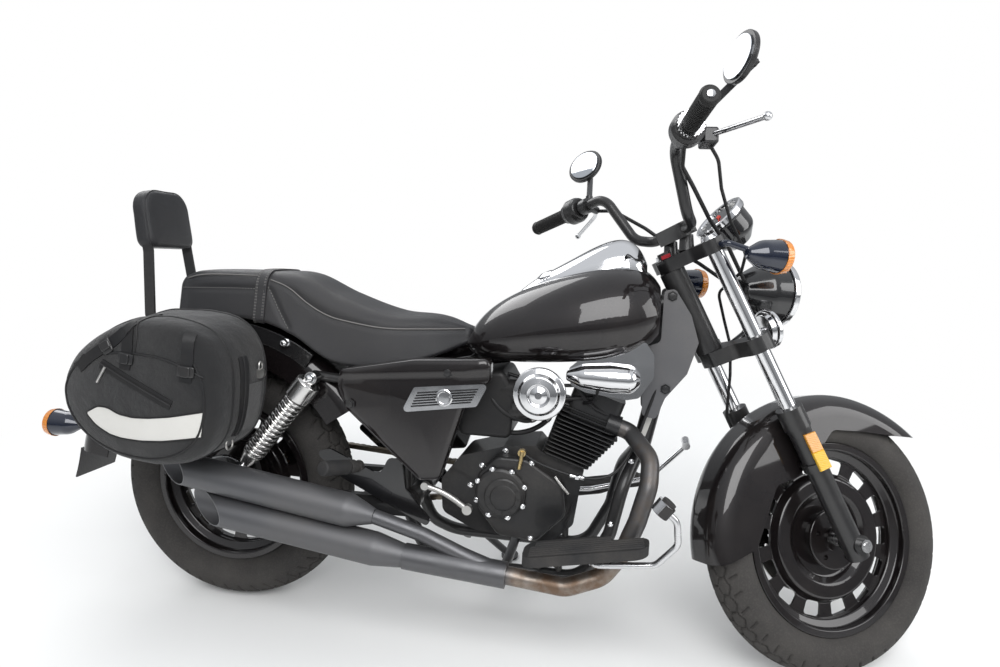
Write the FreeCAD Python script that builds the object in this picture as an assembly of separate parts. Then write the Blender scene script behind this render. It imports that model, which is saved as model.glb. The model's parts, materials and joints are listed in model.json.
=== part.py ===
import FreeCAD, Part
import math
import os

V = FreeCAD.Vector

# Chassis geometry, millimetres and degrees
WHEELBASE = 1450.0
RAKE = 28.5
AXLE_LEAD = 61.0
FORK_LEAD = 56.0
FORK_HALF_SPACING = 98.0
LEAN = 11.0
STEER_STOP = 29.0

# Tyres and wheels
FRONT_TYRE_RADIUS = 302.0
FRONT_TYRE_HALF_WIDTH = 55.0
FRONT_RIM_RADIUS = 216.0
FRONT_RIM_HALF_WIDTH = 39.0
REAR_TYRE_RADIUS = 307.0
REAR_TYRE_HALF_WIDTH = 65.0
REAR_RIM_RADIUS = 205.0
REAR_RIM_HALF_WIDTH = 46.0
RIM_WALL = 4.0
RIM_LIP_HEIGHT = 13.0
RIM_LIP_WIDTH = 5.0
BARREL_DEPTH = 18.0
BEAD_CHAMFER = 5.0
WINDOW_COUNT = 14
WINDOW_INNER_SHARE = 0.82
WINDOW_HALF_ANGLE = 7.2
WINDOW_CORNER = 7.0
DISC_WALL = 5.0
HUB_RADIUS = 27.0
HUB_FLANGE_RADIUS = 68.0
FRONT_HUB_HALF_WIDTH = 48.0
REAR_HUB_HALF_WIDTH = 58.0
AXLE_RADIUS = 8.0
BEARING_CLEARANCE = 0.1
FACE_GAP = 0.3

# Front brake disc and its caliper
BRAKE_DISC_RADIUS = 138.0
BRAKE_DISC_INNER_RADIUS = 84.0
BRAKE_DISC_WALL = 5.0
BRAKE_DISC_Y = 60.0
DISC_HOLE_RADIUS = 4.0
DISC_HOLE_COUNT = 12
CALIPER_ANGLE = 138.0

# Fork, measured up the steering axis from the front axle
STANCHION_RADIUS = 17.5
SLIDER_RADIUS = 24.0
COLLAR_RADIUS = 29.0
SLIDER_FOOT = -30.0
COLLAR_FOOT = 285.0
SLIDER_TOP = 333.0
STANCHION_FOOT = 190.0
LOWER_CLAMP_TOP = 506.0
LOWER_CLAMP_HEIGHT = 34.0
UPPER_CLAMP_FOOT = 708.0
UPPER_CLAMP_HEIGHT = 30.0
STEM_RADIUS = 13.0
HEAD_TUBE_RADIUS = 29.0
CAP_HEIGHT = 9.0
NECK_PLATE_Y = 48.0
CLAMP_REACH = 32.0
HEAD_GAP = 0.6

# Handlebar
BAR_RADIUS = 12.5
GRIP_RADIUS = 17.0
GRIP_LENGTH = 128.0
HOUSING_RADIUS = 33.0
PERCH_BACK = 70.0
BAR_CLAMP_HALF_WIDTH = 54.0

HEADLIGHT_CENTRE = V(1338, 0, 864)
HEADLIGHT_RADIUS = 74.0
HEADLIGHT_DEPTH = 112.0
MIRROR_RADIUS = 50.0
CABLE_RADIUS = 4.5
HOSE_RADIUS = 3.5

# Frame tubes
MAIN_TUBE_RADIUS = 21.0
CRADLE_TUBE_RADIUS = 15.0
CRADLE_HALF_WIDTH = 100.0
CRADLE_HEIGHT = 188.0
UPRIGHT_Y = 57.0
RAIL_Y = 103.0
SEAT_RAIL_RADIUS = 11.0
PIVOT_X = 478.0
PIVOT_Z = 318.0
PIVOT_TUBE_RADIUS = 19.0

# Rear fender, about the rear axle
REAR_FENDER_RADIUS = 418.0
REAR_FENDER_HALF_WIDTH = 88.0
REAR_FENDER_SKIRT = 92.0
FENDER_WALL = 3.0
FENDER_FRONT_ANGLE = 34.0
FENDER_REAR_ANGLE = 172.0
FLAP_RADIUS = 500.0
FLAP_ANGLE = 9.4
TAIL_LAMP_ANGLE = 157.0
FLAP_HALF_WIDTH = 70.0
RAIL_INNER_DROP = 34.0
RAIL_WALL = 7.0

# Front fender, about the front axle
FRONT_FENDER_RADIUS = 327.0
FRONT_FENDER_HALF_WIDTH = 68.0
FRONT_FENDER_INNER_RADIUS = 184.0
VISOR_ANGLE = 76.0
VISOR_STRETCH = 84.0

# Fuel tank
TANK_HALF_WIDTH = 152.0
TANK_TUNNEL_HALF_WIDTH = 34.0
CONSOLE_HALF_WIDTH = 66.0
FILLER_RADIUS = 35.0

# Engine
CYLINDER_LEAN = 18.0
CYLINDER_HALF_LENGTH = 60.0
CYLINDER_HALF_WIDTH = 84.0
BARREL_RADIUS = 44.0
FIN_COUNT = 10
FIN_PITCH = 9.5
FIN_WALL = 2.8
FIN_SPREAD = 0.42
HEAD_HEIGHT = 74.0
PORT_HEIGHT = 124.0
CLUTCH_COVER_RADIUS = 52.0
CASE_HALF_WIDTH = 105.0
AIR_BOX_HALF_WIDTH = 84.0

# Exhaust
HEADER_RADIUS = 20.0
SLEEVE_RADIUS = 29.0
MUFFLER_RADIUS = 37.8
MUFFLER_WALL = 2.0
MUFFLER_Y = -190.0
LINK_PIPE_RADIUS = 16.5
SLASH_BACK = 71.0
SLASH_NORMAL = V(-0.56, -0.82, -0.08)
UPPER_LINE = (V(432, MUFFLER_Y, 317), V(-140, MUFFLER_Y, 396))
LOWER_LINE = (V(505, MUFFLER_Y, 233), V(-50, MUFFLER_Y, 305))
OUTLET_DEPTH = 260.0
LINER_WALL = 0.8
LINER_GAP = 10.0

# Shock absorbers
SHOCK_Y = 136.0
SHOCK_EYE_HALF = 13.0
SHOCK_TOP = V(256, 0, 612)
SHOCK_FOOT = V(82, 0, 384)
SPRING_RADIUS = 27.0
SPRING_WIRE_RADIUS = 4.5
SPRING_TURNS = 13
SHOCK_EYE_RADIUS = 15.0

# Swingarm and chain
ARM_Y = 108.0
ARM_WALL = 20.0
ARM_HEIGHT = 42.0
CHAIN_Y = 84.0
CHAIN_WIDTH = 13.0
CHAIN_HEIGHT = 12.0
REAR_SPROCKET_RADIUS = 92.0
REAR_SPROCKET_TEETH = 46
FRONT_SPROCKET_RADIUS = 34.0
GEARBOX_SHAFT_X = 575.0
GEARBOX_SHAFT_Z = 330.0

# Side stand
STAND_PIVOT = V(592, 139, 196)
STAND_FOOT_X = 682.0
STAND_FOOT_Y = 268.0
STAND_LEG_RADIUS = 10.0
STAND_PAD_RADIUS = 24.0
STAND_PAD_HEIGHT = 7.0
STAND_FOLDED = V(-0.965, 0.10, 0.19)
STAND_HUB_HALF = 10.0
STAND_PIN_RADIUS = 8.0

# Saddlebags
BAG_INNER_Y = 176.0
BAG_OUTER_Y = 330.0

# Passenger peg brackets
BRACKET_Y = 127.0
BRACKET_WALL = 7.0

# Seat
SEAT_HALF_WIDTH = 122.0
PAD_HALF_WIDTH = 88.0
BACKREST_BAR_WALL = 6.0
BACKREST_TOP_Y = 78.0

# Footboards
BOARD_LOW = 268.0
BOARD_SLOPE = 0.2
BOARD_WALL = 22.0

STEER_UP = V(-math.sin(math.radians(RAKE)), 0, math.cos(math.radians(RAKE)))
STEER_FORE = V(math.cos(math.radians(RAKE)), 0, math.sin(math.radians(RAKE)))
FRONT_AXLE = V(WHEELBASE, 0, FRONT_TYRE_RADIUS)
REAR_AXLE = V(0, 0, REAR_TYRE_RADIUS)
STEER_POINT = FRONT_AXLE - STEER_FORE * AXLE_LEAD
ACROSS = V(0, 1, 0)


def unit(vector):
    return vector / vector.Length


def steer_point(fore, across, up):
    """A point given ahead of the steering axis, to the left, and up along it."""
    return STEER_POINT + STEER_FORE * fore + ACROSS * across + STEER_UP * up


def rounded_edges(points, radii, closed):
    """Straight edges through the points, each corner rounded by a tangent arc."""
    count = len(points)
    corners = []
    for index, corner in enumerate(points):
        radius = radii[index]
        inner = closed or 0 < index < count - 1
        if radius <= 0 or not inner:
            corners.append((corner, None, corner))
            continue
        back = points[index - 1] - corner
        ahead = points[(index + 1) % count] - corner
        half = back.getAngle(ahead) / 2
        reach = min(radius / math.tan(half), 0.48 * min(back.Length, ahead.Length))
        radius = reach * math.tan(half)
        bisector = unit(unit(back) + unit(ahead))
        middle = corner + bisector * (radius / math.sin(half) - radius)
        corners.append((corner + unit(back) * reach, middle, corner + unit(ahead) * reach))
    edges = []
    for index, (start, middle, end) in enumerate(corners):
        if middle is not None:
            edges.append(Part.Arc(start, middle, end).toShape())
        if closed or index < count - 1:
            following = corners[(index + 1) % count][0]
            if (following - end).Length > 1e-6:
                edges.append(Part.LineSegment(end, following).toShape())
    return edges


def rounded_face(rows, place):
    """A face whose outline rows hold (first, second, corner radius)."""
    points = [place(row[0], row[1]) for row in rows]
    return Part.Face(Part.Wire(rounded_edges(points, [row[2] for row in rows], True)))


def side_plate(rows, low_y, high_y):
    """A plate seen from the side: rows of (x, z, corner radius), between two y."""
    face = rounded_face(rows, lambda x, z: V(x, low_y, z))
    return face.extrude(V(0, high_y - low_y, 0))


def clamp_plate(rows, low, high):
    """A plate across the fork: rows of (fore, across, corner radius), between two heights."""
    face = rounded_face(rows, lambda fore, across: steer_point(fore, across, low))
    return face.extrude(STEER_UP * (high - low))


def turned(rows, centre, axis, spoke, angle=360.0):
    """A turned solid: rows of (along, radius, corner radius) about an axis."""
    along, out = unit(axis), unit(spoke)
    face = rounded_face(rows, lambda reach, radius: centre + along * reach + out * radius)
    return face.revolve(centre, along, angle)


def cylinder(start, end, radius):
    return Part.makeCylinder(radius, (end - start).Length, start, end - start)


def cone(start, end, start_radius, end_radius):
    return Part.makeCone(start_radius, end_radius, (end - start).Length, start, end - start)


def bar(points, radius, bend):
    """A round bar along straight runs joined by tangent arcs."""
    edges = rounded_edges(points, [bend] * len(points), False)
    direction = points[1] - points[0]
    circle = Part.makeCircle(radius, points[0], direction)
    return Part.Wire(edges).makePipe(Part.Face(Part.Wire([circle])))


def strip(points, bend, width, thickness, sideways=ACROSS):
    """A flat strip along straight runs joined by tangent arcs."""
    edges = rounded_edges(points, [bend] * len(points), False)
    direction = unit(points[1] - points[0])
    third = unit(direction.cross(sideways))
    corners = [(-1, -1), (1, -1), (1, 1), (-1, 1)]
    outline = [points[0] + sideways * (a * thickness / 2) + third * (b * width / 2) for a, b in corners]
    face = Part.Face(Part.makePolygon(outline + outline[:1]))
    return Part.Wire(edges).makePipe(face)


def hull_section(x, low, high, widest, half_width, floor_share, floor_y=None):
    """A tank or seat section: flat floor, arcs to the widest line and arcs over the top."""
    floor = half_width * floor_share
    slant = math.sqrt(0.5)
    side = V(x, half_width, widest)
    top = V(x, 0, high)
    shoulder = V(x, half_width * slant, widest + (high - widest) * slant)
    foot = V(x, floor, low)
    flank = V(x, floor + (half_width - floor) * 0.78, low + (widest - low) * 0.42)

    def other(point):
        return V(point.x, -point.y, point.z)
    edges = [Part.LineSegment(other(foot), foot), Part.Arc(foot, flank, side),
             Part.Arc(side, shoulder, top),
             Part.Arc(top, other(shoulder), other(side)), Part.Arc(other(side), other(flank), other(foot))]
    return Part.Wire([edge.toShape() for edge in edges])


def seat_section(x, low, high, half_low, half_high, corner):
    """A seat section: flat floor, leaning sides and a softly rounded top."""
    rows = [V(x, -half_low, low), V(x, half_low, low), V(x, half_high, high), V(x, -half_high, high)]
    return Part.Wire(rounded_edges(rows, [8, 8, corner, corner], True))


def loft(sections):
    return Part.makeLoft(sections, True, False)


def mirrored(shape):
    return shape.mirror(V(0, 0, 0), ACROSS)


def both_sides(shape):
    return Part.Compound([shape, mirrored(shape)])


def joined(shapes):
    result = shapes[0]
    for shape in shapes[1:]:
        result = result.fuse(shape)
    return result


def fused(shapes):
    return joined(shapes).removeSplitter()


def largest(shape):
    return max(shape.Solids, key=lambda solid: solid.Volume)


def tyre(centre, radius, half_width, rim_radius, rim_half_width):
    """A tyre: beads on the rim seat, bulging walls and a round crown."""
    bead = rim_radius - RIM_LIP_HEIGHT
    seat = rim_half_width - RIM_LIP_WIDTH
    spoke = V(0, 0, 1)
    crown_z = radius - half_width

    def at(y, r):
        return centre + ACROSS * y + spoke * r
    edges = [Part.LineSegment(at(BEAD_CHAMFER - seat, bead), at(seat - BEAD_CHAMFER, bead)),
             Part.LineSegment(at(seat - BEAD_CHAMFER, bead), at(seat, bead + BEAD_CHAMFER)),
             Part.LineSegment(at(seat, bead + BEAD_CHAMFER), at(seat, rim_radius)),
             Part.Arc(at(seat, rim_radius), at(half_width * 0.93, (rim_radius + crown_z) / 2 + 3),
                      at(half_width, crown_z)),
             Part.Arc(at(half_width, crown_z), at(0, radius), at(-half_width, crown_z)),
             Part.Arc(at(-half_width, crown_z), at(-half_width * 0.93, (rim_radius + crown_z) / 2 + 3),
                      at(-seat, rim_radius)),
             Part.LineSegment(at(-seat, rim_radius), at(-seat, bead + BEAD_CHAMFER)),
             Part.LineSegment(at(-seat, bead + BEAD_CHAMFER), at(BEAD_CHAMFER - seat, bead))]
    face = Part.Face(Part.Wire([edge.toShape() for edge in edges]))
    return face.revolve(centre, ACROSS, 360)


def wheel(centre, rim_radius, rim_half_width, hub_half_width):
    """A pressed wheel: lipped barrel, windowed dished disc and flanged hub."""
    seat = rim_radius - RIM_LIP_HEIGHT
    inner_seat = rim_half_width - RIM_LIP_WIDTH
    well = seat - BARREL_DEPTH
    spoke = V(0, 0, 1)
    barrel_rows = [
        (-rim_half_width, rim_radius, 2), (-inner_seat, rim_radius, 1), (-inner_seat, seat, 3),
                   (-inner_seat * 0.62, seat, 6),
        (-inner_seat * 0.42, well, 6), (inner_seat * 0.42, well, 6), (inner_seat * 0.62, seat, 6),
                   (inner_seat, seat, 3),
        (inner_seat, rim_radius, 1), (rim_half_width, rim_radius, 2), (rim_half_width, seat - RIM_WALL, 4),
        (inner_seat * 0.66, seat - RIM_WALL, 6), (inner_seat * 0.42, well - RIM_WALL, 6),
        (-inner_seat * 0.42, well - RIM_WALL, 6), (-inner_seat * 0.66, seat - RIM_WALL, 6),
                   (-rim_half_width, seat - RIM_WALL, 4)]
    barrel = turned(barrel_rows, centre, ACROSS, spoke)
    outer = well - RIM_WALL
    window_outer = outer - 2.0
    window_inner = window_outer * WINDOW_INNER_SHARE
    ridge = window_inner - 14.0
    dish = HUB_FLANGE_RADIUS + 26.0
    ridge_y = -24.0
    flange_y = 6.0 - hub_half_width
    disc_rows = [
        (-DISC_WALL, outer + 1, 0), (0, outer + 1, 0), (0, window_inner - 4, 5),
                 (ridge_y + DISC_WALL, ridge, 8),
        (ridge_y + DISC_WALL, dish + 14, 8), (-4, dish, 8), (-4, HUB_RADIUS - 4, 0),
                 (-4 - DISC_WALL, HUB_RADIUS - 4, 0),
        (-4 - DISC_WALL, dish - 6, 8), (ridge_y, dish + 10, 10), (ridge_y, ridge + 3, 8),
                 (-DISC_WALL, window_inner, 5)]
    disc = turned(disc_rows, centre, ACROSS, spoke)
    windows = []
    for index in range(WINDOW_COUNT):
        rows = []
        for radius, side in ((window_inner, -1), (window_inner, 1), (window_outer, 1), (window_outer, -1)):
            angle = math.radians(index * 360.0 / WINDOW_COUNT + side * WINDOW_HALF_ANGLE)
            rows.append((centre.x + radius * math.cos(angle), centre.z + radius * math.sin(angle),
                         WINDOW_CORNER))
        windows.append(side_plate(rows, -30, 30))
    disc = disc.cut(Part.Compound(windows))
    hub = cylinder(centre - ACROSS * hub_half_width, centre + ACROSS * hub_half_width, HUB_RADIUS)
    flange = turned([(flange_y, HUB_RADIUS - 2, 0), (flange_y, HUB_FLANGE_RADIUS, 3),
                     (flange_y + 8, HUB_FLANGE_RADIUS, 2),
                     (flange_y + 12, HUB_FLANGE_RADIUS - 12, 4), (-2, HUB_FLANGE_RADIUS - 14, 0),
                     (-2, HUB_RADIUS - 2, 0)],
                    centre, ACROSS, spoke)
    holes = []
    for index in range(5):
        angle = math.radians(index * 72.0 + 20)
        spot = centre + V(math.cos(angle), 0, math.sin(angle)) * 48.0
        holes.append(cylinder(spot + ACROSS * (flange_y - 2), spot + ACROSS * (flange_y + 9), 6.0))
    flange = flange.cut(Part.Compound(holes))
    bore_radius = AXLE_RADIUS + BEARING_CLEARANCE
    bore = cylinder(centre - ACROSS * 90, centre + ACROSS * 90, bore_radius)
    return fused([barrel, disc, hub, flange]).cut(bore)


def front_tyre():
    return tyre(FRONT_AXLE, FRONT_TYRE_RADIUS, FRONT_TYRE_HALF_WIDTH, FRONT_RIM_RADIUS,
                FRONT_RIM_HALF_WIDTH)


def rear_tyre():
    return tyre(REAR_AXLE, REAR_TYRE_RADIUS, REAR_TYRE_HALF_WIDTH, REAR_RIM_RADIUS, REAR_RIM_HALF_WIDTH)


def front_wheel():
    return wheel(FRONT_AXLE, FRONT_RIM_RADIUS, FRONT_RIM_HALF_WIDTH, FRONT_HUB_HALF_WIDTH)


def rear_wheel():
    """The rear wheel with its brake drum on the right and its sprocket carrier on the left."""
    rim = wheel(REAR_AXLE, REAR_RIM_RADIUS, REAR_RIM_HALF_WIDTH, REAR_HUB_HALF_WIDTH)
    carrier = turned([(-2, AXLE_RADIUS + 8, 0), (-2, 56, 4), (CHAIN_Y - 4, 56, 3),
                      (CHAIN_Y - 4, AXLE_RADIUS + 8, 0)],
                     REAR_AXLE, ACROSS, V(0, 0, 1))
    return fused([rim, carrier])


def front_brake_disc():
    """The drilled disc on its carrier, bolted to the left end of the hub."""
    low, high = BRAKE_DISC_Y, BRAKE_DISC_Y + BRAKE_DISC_WALL
    rows = [(low, BRAKE_DISC_INNER_RADIUS, 0), (high, BRAKE_DISC_INNER_RADIUS, 0),
            (high, BRAKE_DISC_RADIUS, 1),
            (low, BRAKE_DISC_RADIUS, 1)]
    ring = turned(rows, FRONT_AXLE, ACROSS, V(0, 0, 1))
    carrier_rows = [(FRONT_HUB_HALF_WIDTH, AXLE_RADIUS + 6, 0), (FRONT_HUB_HALF_WIDTH, 60, 3),
                    (low - 2, 76, 4),
                    (low, BRAKE_DISC_INNER_RADIUS + 6, 0), (high, BRAKE_DISC_INNER_RADIUS + 6, 0),
                    (high, 70, 4),
                    (FRONT_HUB_HALF_WIDTH + 6, 54, 4), (FRONT_HUB_HALF_WIDTH + 6, AXLE_RADIUS + 6, 0)]
    carrier = turned(carrier_rows, FRONT_AXLE, ACROSS, V(0, 0, 1))
    holes = []
    for ring_radius, offset in ((BRAKE_DISC_RADIUS - 13, 0), (BRAKE_DISC_RADIUS - 27, 15),
                                (BRAKE_DISC_RADIUS - 40, 4)):
        for index in range(DISC_HOLE_COUNT):
            angle = math.radians(index * 360.0 / DISC_HOLE_COUNT + offset)
            spot = FRONT_AXLE + V(math.cos(angle), 0, math.sin(angle)) * ring_radius
            holes.append(cylinder(spot + ACROSS * (low - 5), spot + ACROSS * (high + 5), DISC_HOLE_RADIUS))
    return fused([ring.cut(Part.Compound(holes)), carrier])


def front_axle():
    """The spindle through both sliders with its spacers and nuts."""
    reach = FORK_HALF_SPACING + SLIDER_RADIUS
    spindle = cylinder(FRONT_AXLE - ACROSS * (reach + 14), FRONT_AXLE + ACROSS * (reach + 8), AXLE_RADIUS)
    nut = cylinder(FRONT_AXLE - ACROSS * (reach + 12), FRONT_AXLE - ACROSS * reach, 14)
    head = cylinder(FRONT_AXLE + ACROSS * reach, FRONT_AXLE + ACROSS * (reach + 10), 13)
    inner = FORK_HALF_SPACING - SLIDER_RADIUS
    right_spacer = cylinder(FRONT_AXLE - ACROSS * inner,
                            FRONT_AXLE - ACROSS * (FRONT_HUB_HALF_WIDTH + FACE_GAP), 13)
    left_spacer = cylinder(FRONT_AXLE + ACROSS * (FRONT_HUB_HALF_WIDTH + 6 + FACE_GAP),
                           FRONT_AXLE + ACROSS * inner, 13)
    return fused([spindle, nut, head, right_spacer, left_spacer])


def fork_sliders():
    """Both lower legs: collar at the top, boss round the axle at the foot."""
    side = -FORK_HALF_SPACING
    foot, top = steer_point(FORK_LEAD, side, SLIDER_FOOT), steer_point(FORK_LEAD, side, SLIDER_TOP)
    leg = cylinder(foot, top, SLIDER_RADIUS)
    collar = cylinder(steer_point(FORK_LEAD, side, COLLAR_FOOT), top, COLLAR_RADIUS)
    neck = cone(steer_point(FORK_LEAD, side, COLLAR_FOOT - 22), steer_point(FORK_LEAD, side, COLLAR_FOOT),
                SLIDER_RADIUS,
                COLLAR_RADIUS - 3)
    boss = cylinder(FRONT_AXLE + ACROSS * (side - SLIDER_RADIUS),
                    FRONT_AXLE + ACROSS * (side + SLIDER_RADIUS), 21)
    lug = cylinder(steer_point(FORK_LEAD, side, 186), steer_point(FORK_LEAD, side, 204), SLIDER_RADIUS + 4)
    leg = fused([leg, collar, neck, boss, lug])
    bore = cylinder(steer_point(FORK_LEAD, side, STANCHION_FOOT), top + STEER_UP * 2,
                    STANCHION_RADIUS + BEARING_CLEARANCE)
    axle_hole = cylinder(FRONT_AXLE - ACROSS * 140, FRONT_AXLE + ACROSS * 140,
                         AXLE_RADIUS + BEARING_CLEARANCE)
    return both_sides(leg.cut(bore).cut(axle_hole))


def fork_tubes():
    """Both bright tubes with their domed top caps."""
    side = -FORK_HALF_SPACING
    top = UPPER_CLAMP_FOOT + UPPER_CLAMP_HEIGHT
    tube = cylinder(steer_point(FORK_LEAD, side, STANCHION_FOOT + 1), steer_point(FORK_LEAD, side, top + 1),
                    STANCHION_RADIUS)
    cap = turned([(0, 0, 0), (0, STANCHION_RADIUS + 2, 0), (CAP_HEIGHT, STANCHION_RADIUS - 1, 3),
                  (CAP_HEIGHT, 0, 0)],
                 steer_point(FORK_LEAD, side, top + 1), STEER_UP, STEER_FORE)
    return both_sides(fused([tube, cap]))


def clamp_outline():
    """The clamp seen from above: eyes round the fork tubes joined by a waisted bridge."""
    wide = FORK_HALF_SPACING + CLAMP_REACH
    return [(FORK_LEAD + 30, -wide + 4, 24), (FORK_LEAD + 30, -FORK_HALF_SPACING + 26, 14),
            (FORK_LEAD - 4, -40, 30),
            (FORK_LEAD - 4, 40, 30), (FORK_LEAD + 30, FORK_HALF_SPACING - 26, 14),
            (FORK_LEAD + 30, wide - 4, 24),
            (FORK_LEAD - 30, wide - 4, 26), (FORK_LEAD - 34, 60, 30), (-20, 22, 16), (-20, -22, 16),
            (FORK_LEAD - 34, -60, 30),
            (FORK_LEAD - 30, -wide + 4, 26)]


def stanchion_holes(low, high):
    radius = STANCHION_RADIUS + BEARING_CLEARANCE
    right = cylinder(steer_point(FORK_LEAD, -FORK_HALF_SPACING, low),
                     steer_point(FORK_LEAD, -FORK_HALF_SPACING, high), radius)
    return both_sides(right)


def lower_clamp():
    """The lower fork clamp with the steering stem and its nut."""
    low, high = LOWER_CLAMP_TOP - LOWER_CLAMP_HEIGHT, LOWER_CLAMP_TOP
    plate = clamp_plate(clamp_outline(), low, high).cut(stanchion_holes(low - 5, high + 5))
    stem_top = UPPER_CLAMP_FOOT + UPPER_CLAMP_HEIGHT + 4
    stem = cylinder(steer_point(0, 0, low + 4), steer_point(0, 0, stem_top), STEM_RADIUS)
    nut = cylinder(steer_point(0, 0, stem_top), steer_point(0, 0, stem_top + 12), STEM_RADIUS + 3)
    return fused([plate, stem, nut])


def upper_clamp():
    """The upper fork clamp with the handlebar risers standing on it."""
    low, high = UPPER_CLAMP_FOOT, UPPER_CLAMP_FOOT + UPPER_CLAMP_HEIGHT
    plate = clamp_plate(clamp_outline(), low, high).cut(stanchion_holes(low - 5, high + 5))
    hole = cylinder(steer_point(0, 0, low - 5), steer_point(0, 0, high + 20),
                    STEM_RADIUS + BEARING_CLEARANCE)
    counterbore = cylinder(steer_point(0, 0, high + 3), steer_point(0, 0, high + 30), STEM_RADIUS + 6)
    return plate.cut(hole).cut(counterbore)


def bar_points():
    """The handlebar's centre line, right grip end to left grip end."""
    half = [V(1068, 0, 986), V(1058, 84, 982), V(1026, 118, 992), V(966, 168, 1108), V(882, 422, 1089)]
    return [V(p.x, -p.y, p.z) for p in reversed(half[1:])] + half


def handlebar():
    return bar(bar_points(), BAR_RADIUS, 48.0)


def bar_clamp():
    """The two risers and the cap that hold the middle of the bar above the upper clamp."""
    middle = bar_points()[4]
    top_s = (middle - STEER_POINT).dot(STEER_UP)
    fore = (middle - STEER_POINT).dot(STEER_FORE)
    low = UPPER_CLAMP_FOOT + UPPER_CLAMP_HEIGHT
    wide = BAR_CLAMP_HALF_WIDTH
    rows = [(fore - 21, -wide, 8), (fore + 21, -wide, 8), (fore + 21, wide, 8), (fore - 21, wide, 8)]
    cap = clamp_plate(rows, top_s - 17, top_s + 17)
    risers = [cone(steer_point(fore - 18, y, low - 4), steer_point(fore, y, top_s - 16), 17,
                   15) for y in (-34, 34)]
    bore = bar(bar_points(), BAR_RADIUS + BEARING_CLEARANCE, 48.0)
    return largest(fused([cap] + risers).cut(bore).cut(upper_clamp()))


def grip_direction():
    points = bar_points()
    return unit(points[-1] - points[-2])


def grips():
    """Rubber grips over the ends of the bar, with raised end rings."""
    end = bar_points()[-1]
    along = grip_direction()
    rows = [(-GRIP_LENGTH, BAR_RADIUS + 0.1, 0), (-GRIP_LENGTH, GRIP_RADIUS + 7, 2),
            (-GRIP_LENGTH + 5, GRIP_RADIUS + 7, 2),
            (-GRIP_LENGTH + 9, GRIP_RADIUS, 2), (-2, GRIP_RADIUS, 2), (4, GRIP_RADIUS + 2, 3),
            (12, GRIP_RADIUS - 2, 4),
            (12, 0, 0), (0.1, 0, 0), (0.1, BAR_RADIUS + 0.1, 0)]
    grip = turned(rows, end, along, V(0, 0, 1).cross(along))
    return both_sides(grip)


def switch_housings():
    """The switch and throttle housings inboard of the grips."""
    end = bar_points()[-1]
    along = grip_direction()
    start = -GRIP_LENGTH - 52
    hollow = BAR_RADIUS + 0.1
    wide = HOUSING_RADIUS
    rows = [(start, hollow, 0), (start, wide - 4, 6), (start + 12, wide, 6), (start + 36, wide, 5),
            (start + 44, wide - 5, 3), (start + 51, wide - 7, 3), (start + 51, hollow, 0)]
    drum = turned(rows, end, along, V(0, 0, 1).cross(along))
    return both_sides(drum)


def perch_place():
    """The middle of the left perch on the bar, and the directions ahead and along the grip."""
    along = grip_direction()
    mount = bar_points()[-1] - along * (GRIP_LENGTH + PERCH_BACK)
    return mount, unit(along.cross(V(0, 0, 1))), along


def lever_perches():
    """The clamps that hold the levers, with the brake's fluid box on the right one."""
    mount, fore, along = perch_place()
    ring = cylinder(mount - along * 11, mount + along * 11, 20)
    hole = cylinder(mount - along * 30, mount + along * 30, BAR_RADIUS + 0.1)
    arm = cylinder(mount + fore * 12, mount + fore * 44 + along * 6, 10)
    perch = fused([ring, arm]).cut(hole)
    box = Part.makeBox(46, 30, 32, V(-23, -15, -18))
    box = box.makeFillet(5, box.Edges)
    box.Placement = FreeCAD.Placement(mount + fore * 50 + along * 2,
                                      FreeCAD.Rotation(along, fore, V(0, 0, 1), "XZY"))
    reservoir = largest(perch.fuse(box))
    return Part.Compound([mirrored(reservoir), largest(perch)])


def levers(perches):
    """The clutch and brake levers: bent bright blades with ball ends."""
    mount, fore, along = perch_place()
    root = mount + fore * 44 + along * 6
    tip = root + along * 150 + fore * 66 - V(0, 0, 16)
    blade = bar([root, root + along * 40 + fore * 30, tip], 5.0, 60)
    ball = Part.makeSphere(8, tip)
    lever = fused([blade, ball])
    return Part.Compound([largest(shape.cut(perches)) for shape in (lever, mirrored(lever))])


def mirror(side, centre, facing, perches):
    """One round mirror: shallow cup, neck, flat blade stem and its post on the perch."""
    mount, fore, _ = perch_place()
    base = V(mount.x, mount.y * side, mount.z) + V(fore.x, fore.y * side, fore.z) * 12 + V(0, 0, 20)
    back = unit(facing) * -1
    rows = [(0, 0, 0), (0, MIRROR_RADIUS, 2), (10, MIRROR_RADIUS, 4), (20, MIRROR_RADIUS * 0.6, 9),
            (20, 0, 0)]
    cup = turned(rows, centre, back, unit(back.cross(V(0, 0, 1))))
    top = centre + back * 34
    neck = cylinder(centre + back * 16, top + back * 4, 8)
    rise = unit(top - base)
    blade = strip([base, top + rise * 7], 0, 14, 6, unit(ACROSS - rise * ACROSS.dot(rise)))
    post = cylinder(base - V(0, 0, 14), base + V(0, 0, 10), 9)
    return largest(fused([cup, neck, blade, post]).cut(perches).cut(handlebar()))


def mirrors(perches):
    """Both mirrors; each is turned to the rider's own setting."""
    right = mirror(-1, V(1004, -333, 1229), V(-1, 0, 0.136), perches)
    left = mirror(1, V(981, 333, 1254), V(-1, -0.7, 0.36), perches)
    return Part.Compound([right, left])


def speedometer():
    """A round instrument: deep cup with a raised ring, face towards the rider."""
    face, axis = V(1183, 0, 1034), unit(V(0.765, 0, -0.644))
    cup = turned([(0, 0, 0), (0, 52, 0), (-4, 54, 1), (-4, 61, 2), (12, 62, 2), (14, 57, 3), (56, 54, 26),
                  (82, 26, 8), (82, 0, 0)],
                 face, axis, ACROSS)
    foot = steer_point(FORK_LEAD + 30, 0, UPPER_CLAMP_FOOT + 8)
    bracket = bar([face + axis * 66, steer_point(FORK_LEAD + 66, 0, UPPER_CLAMP_FOOT + 22),
                   foot - STEER_FORE * 30], 8, 16)
    return largest(fused([cup, bracket]).cut(upper_clamp()))


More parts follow.
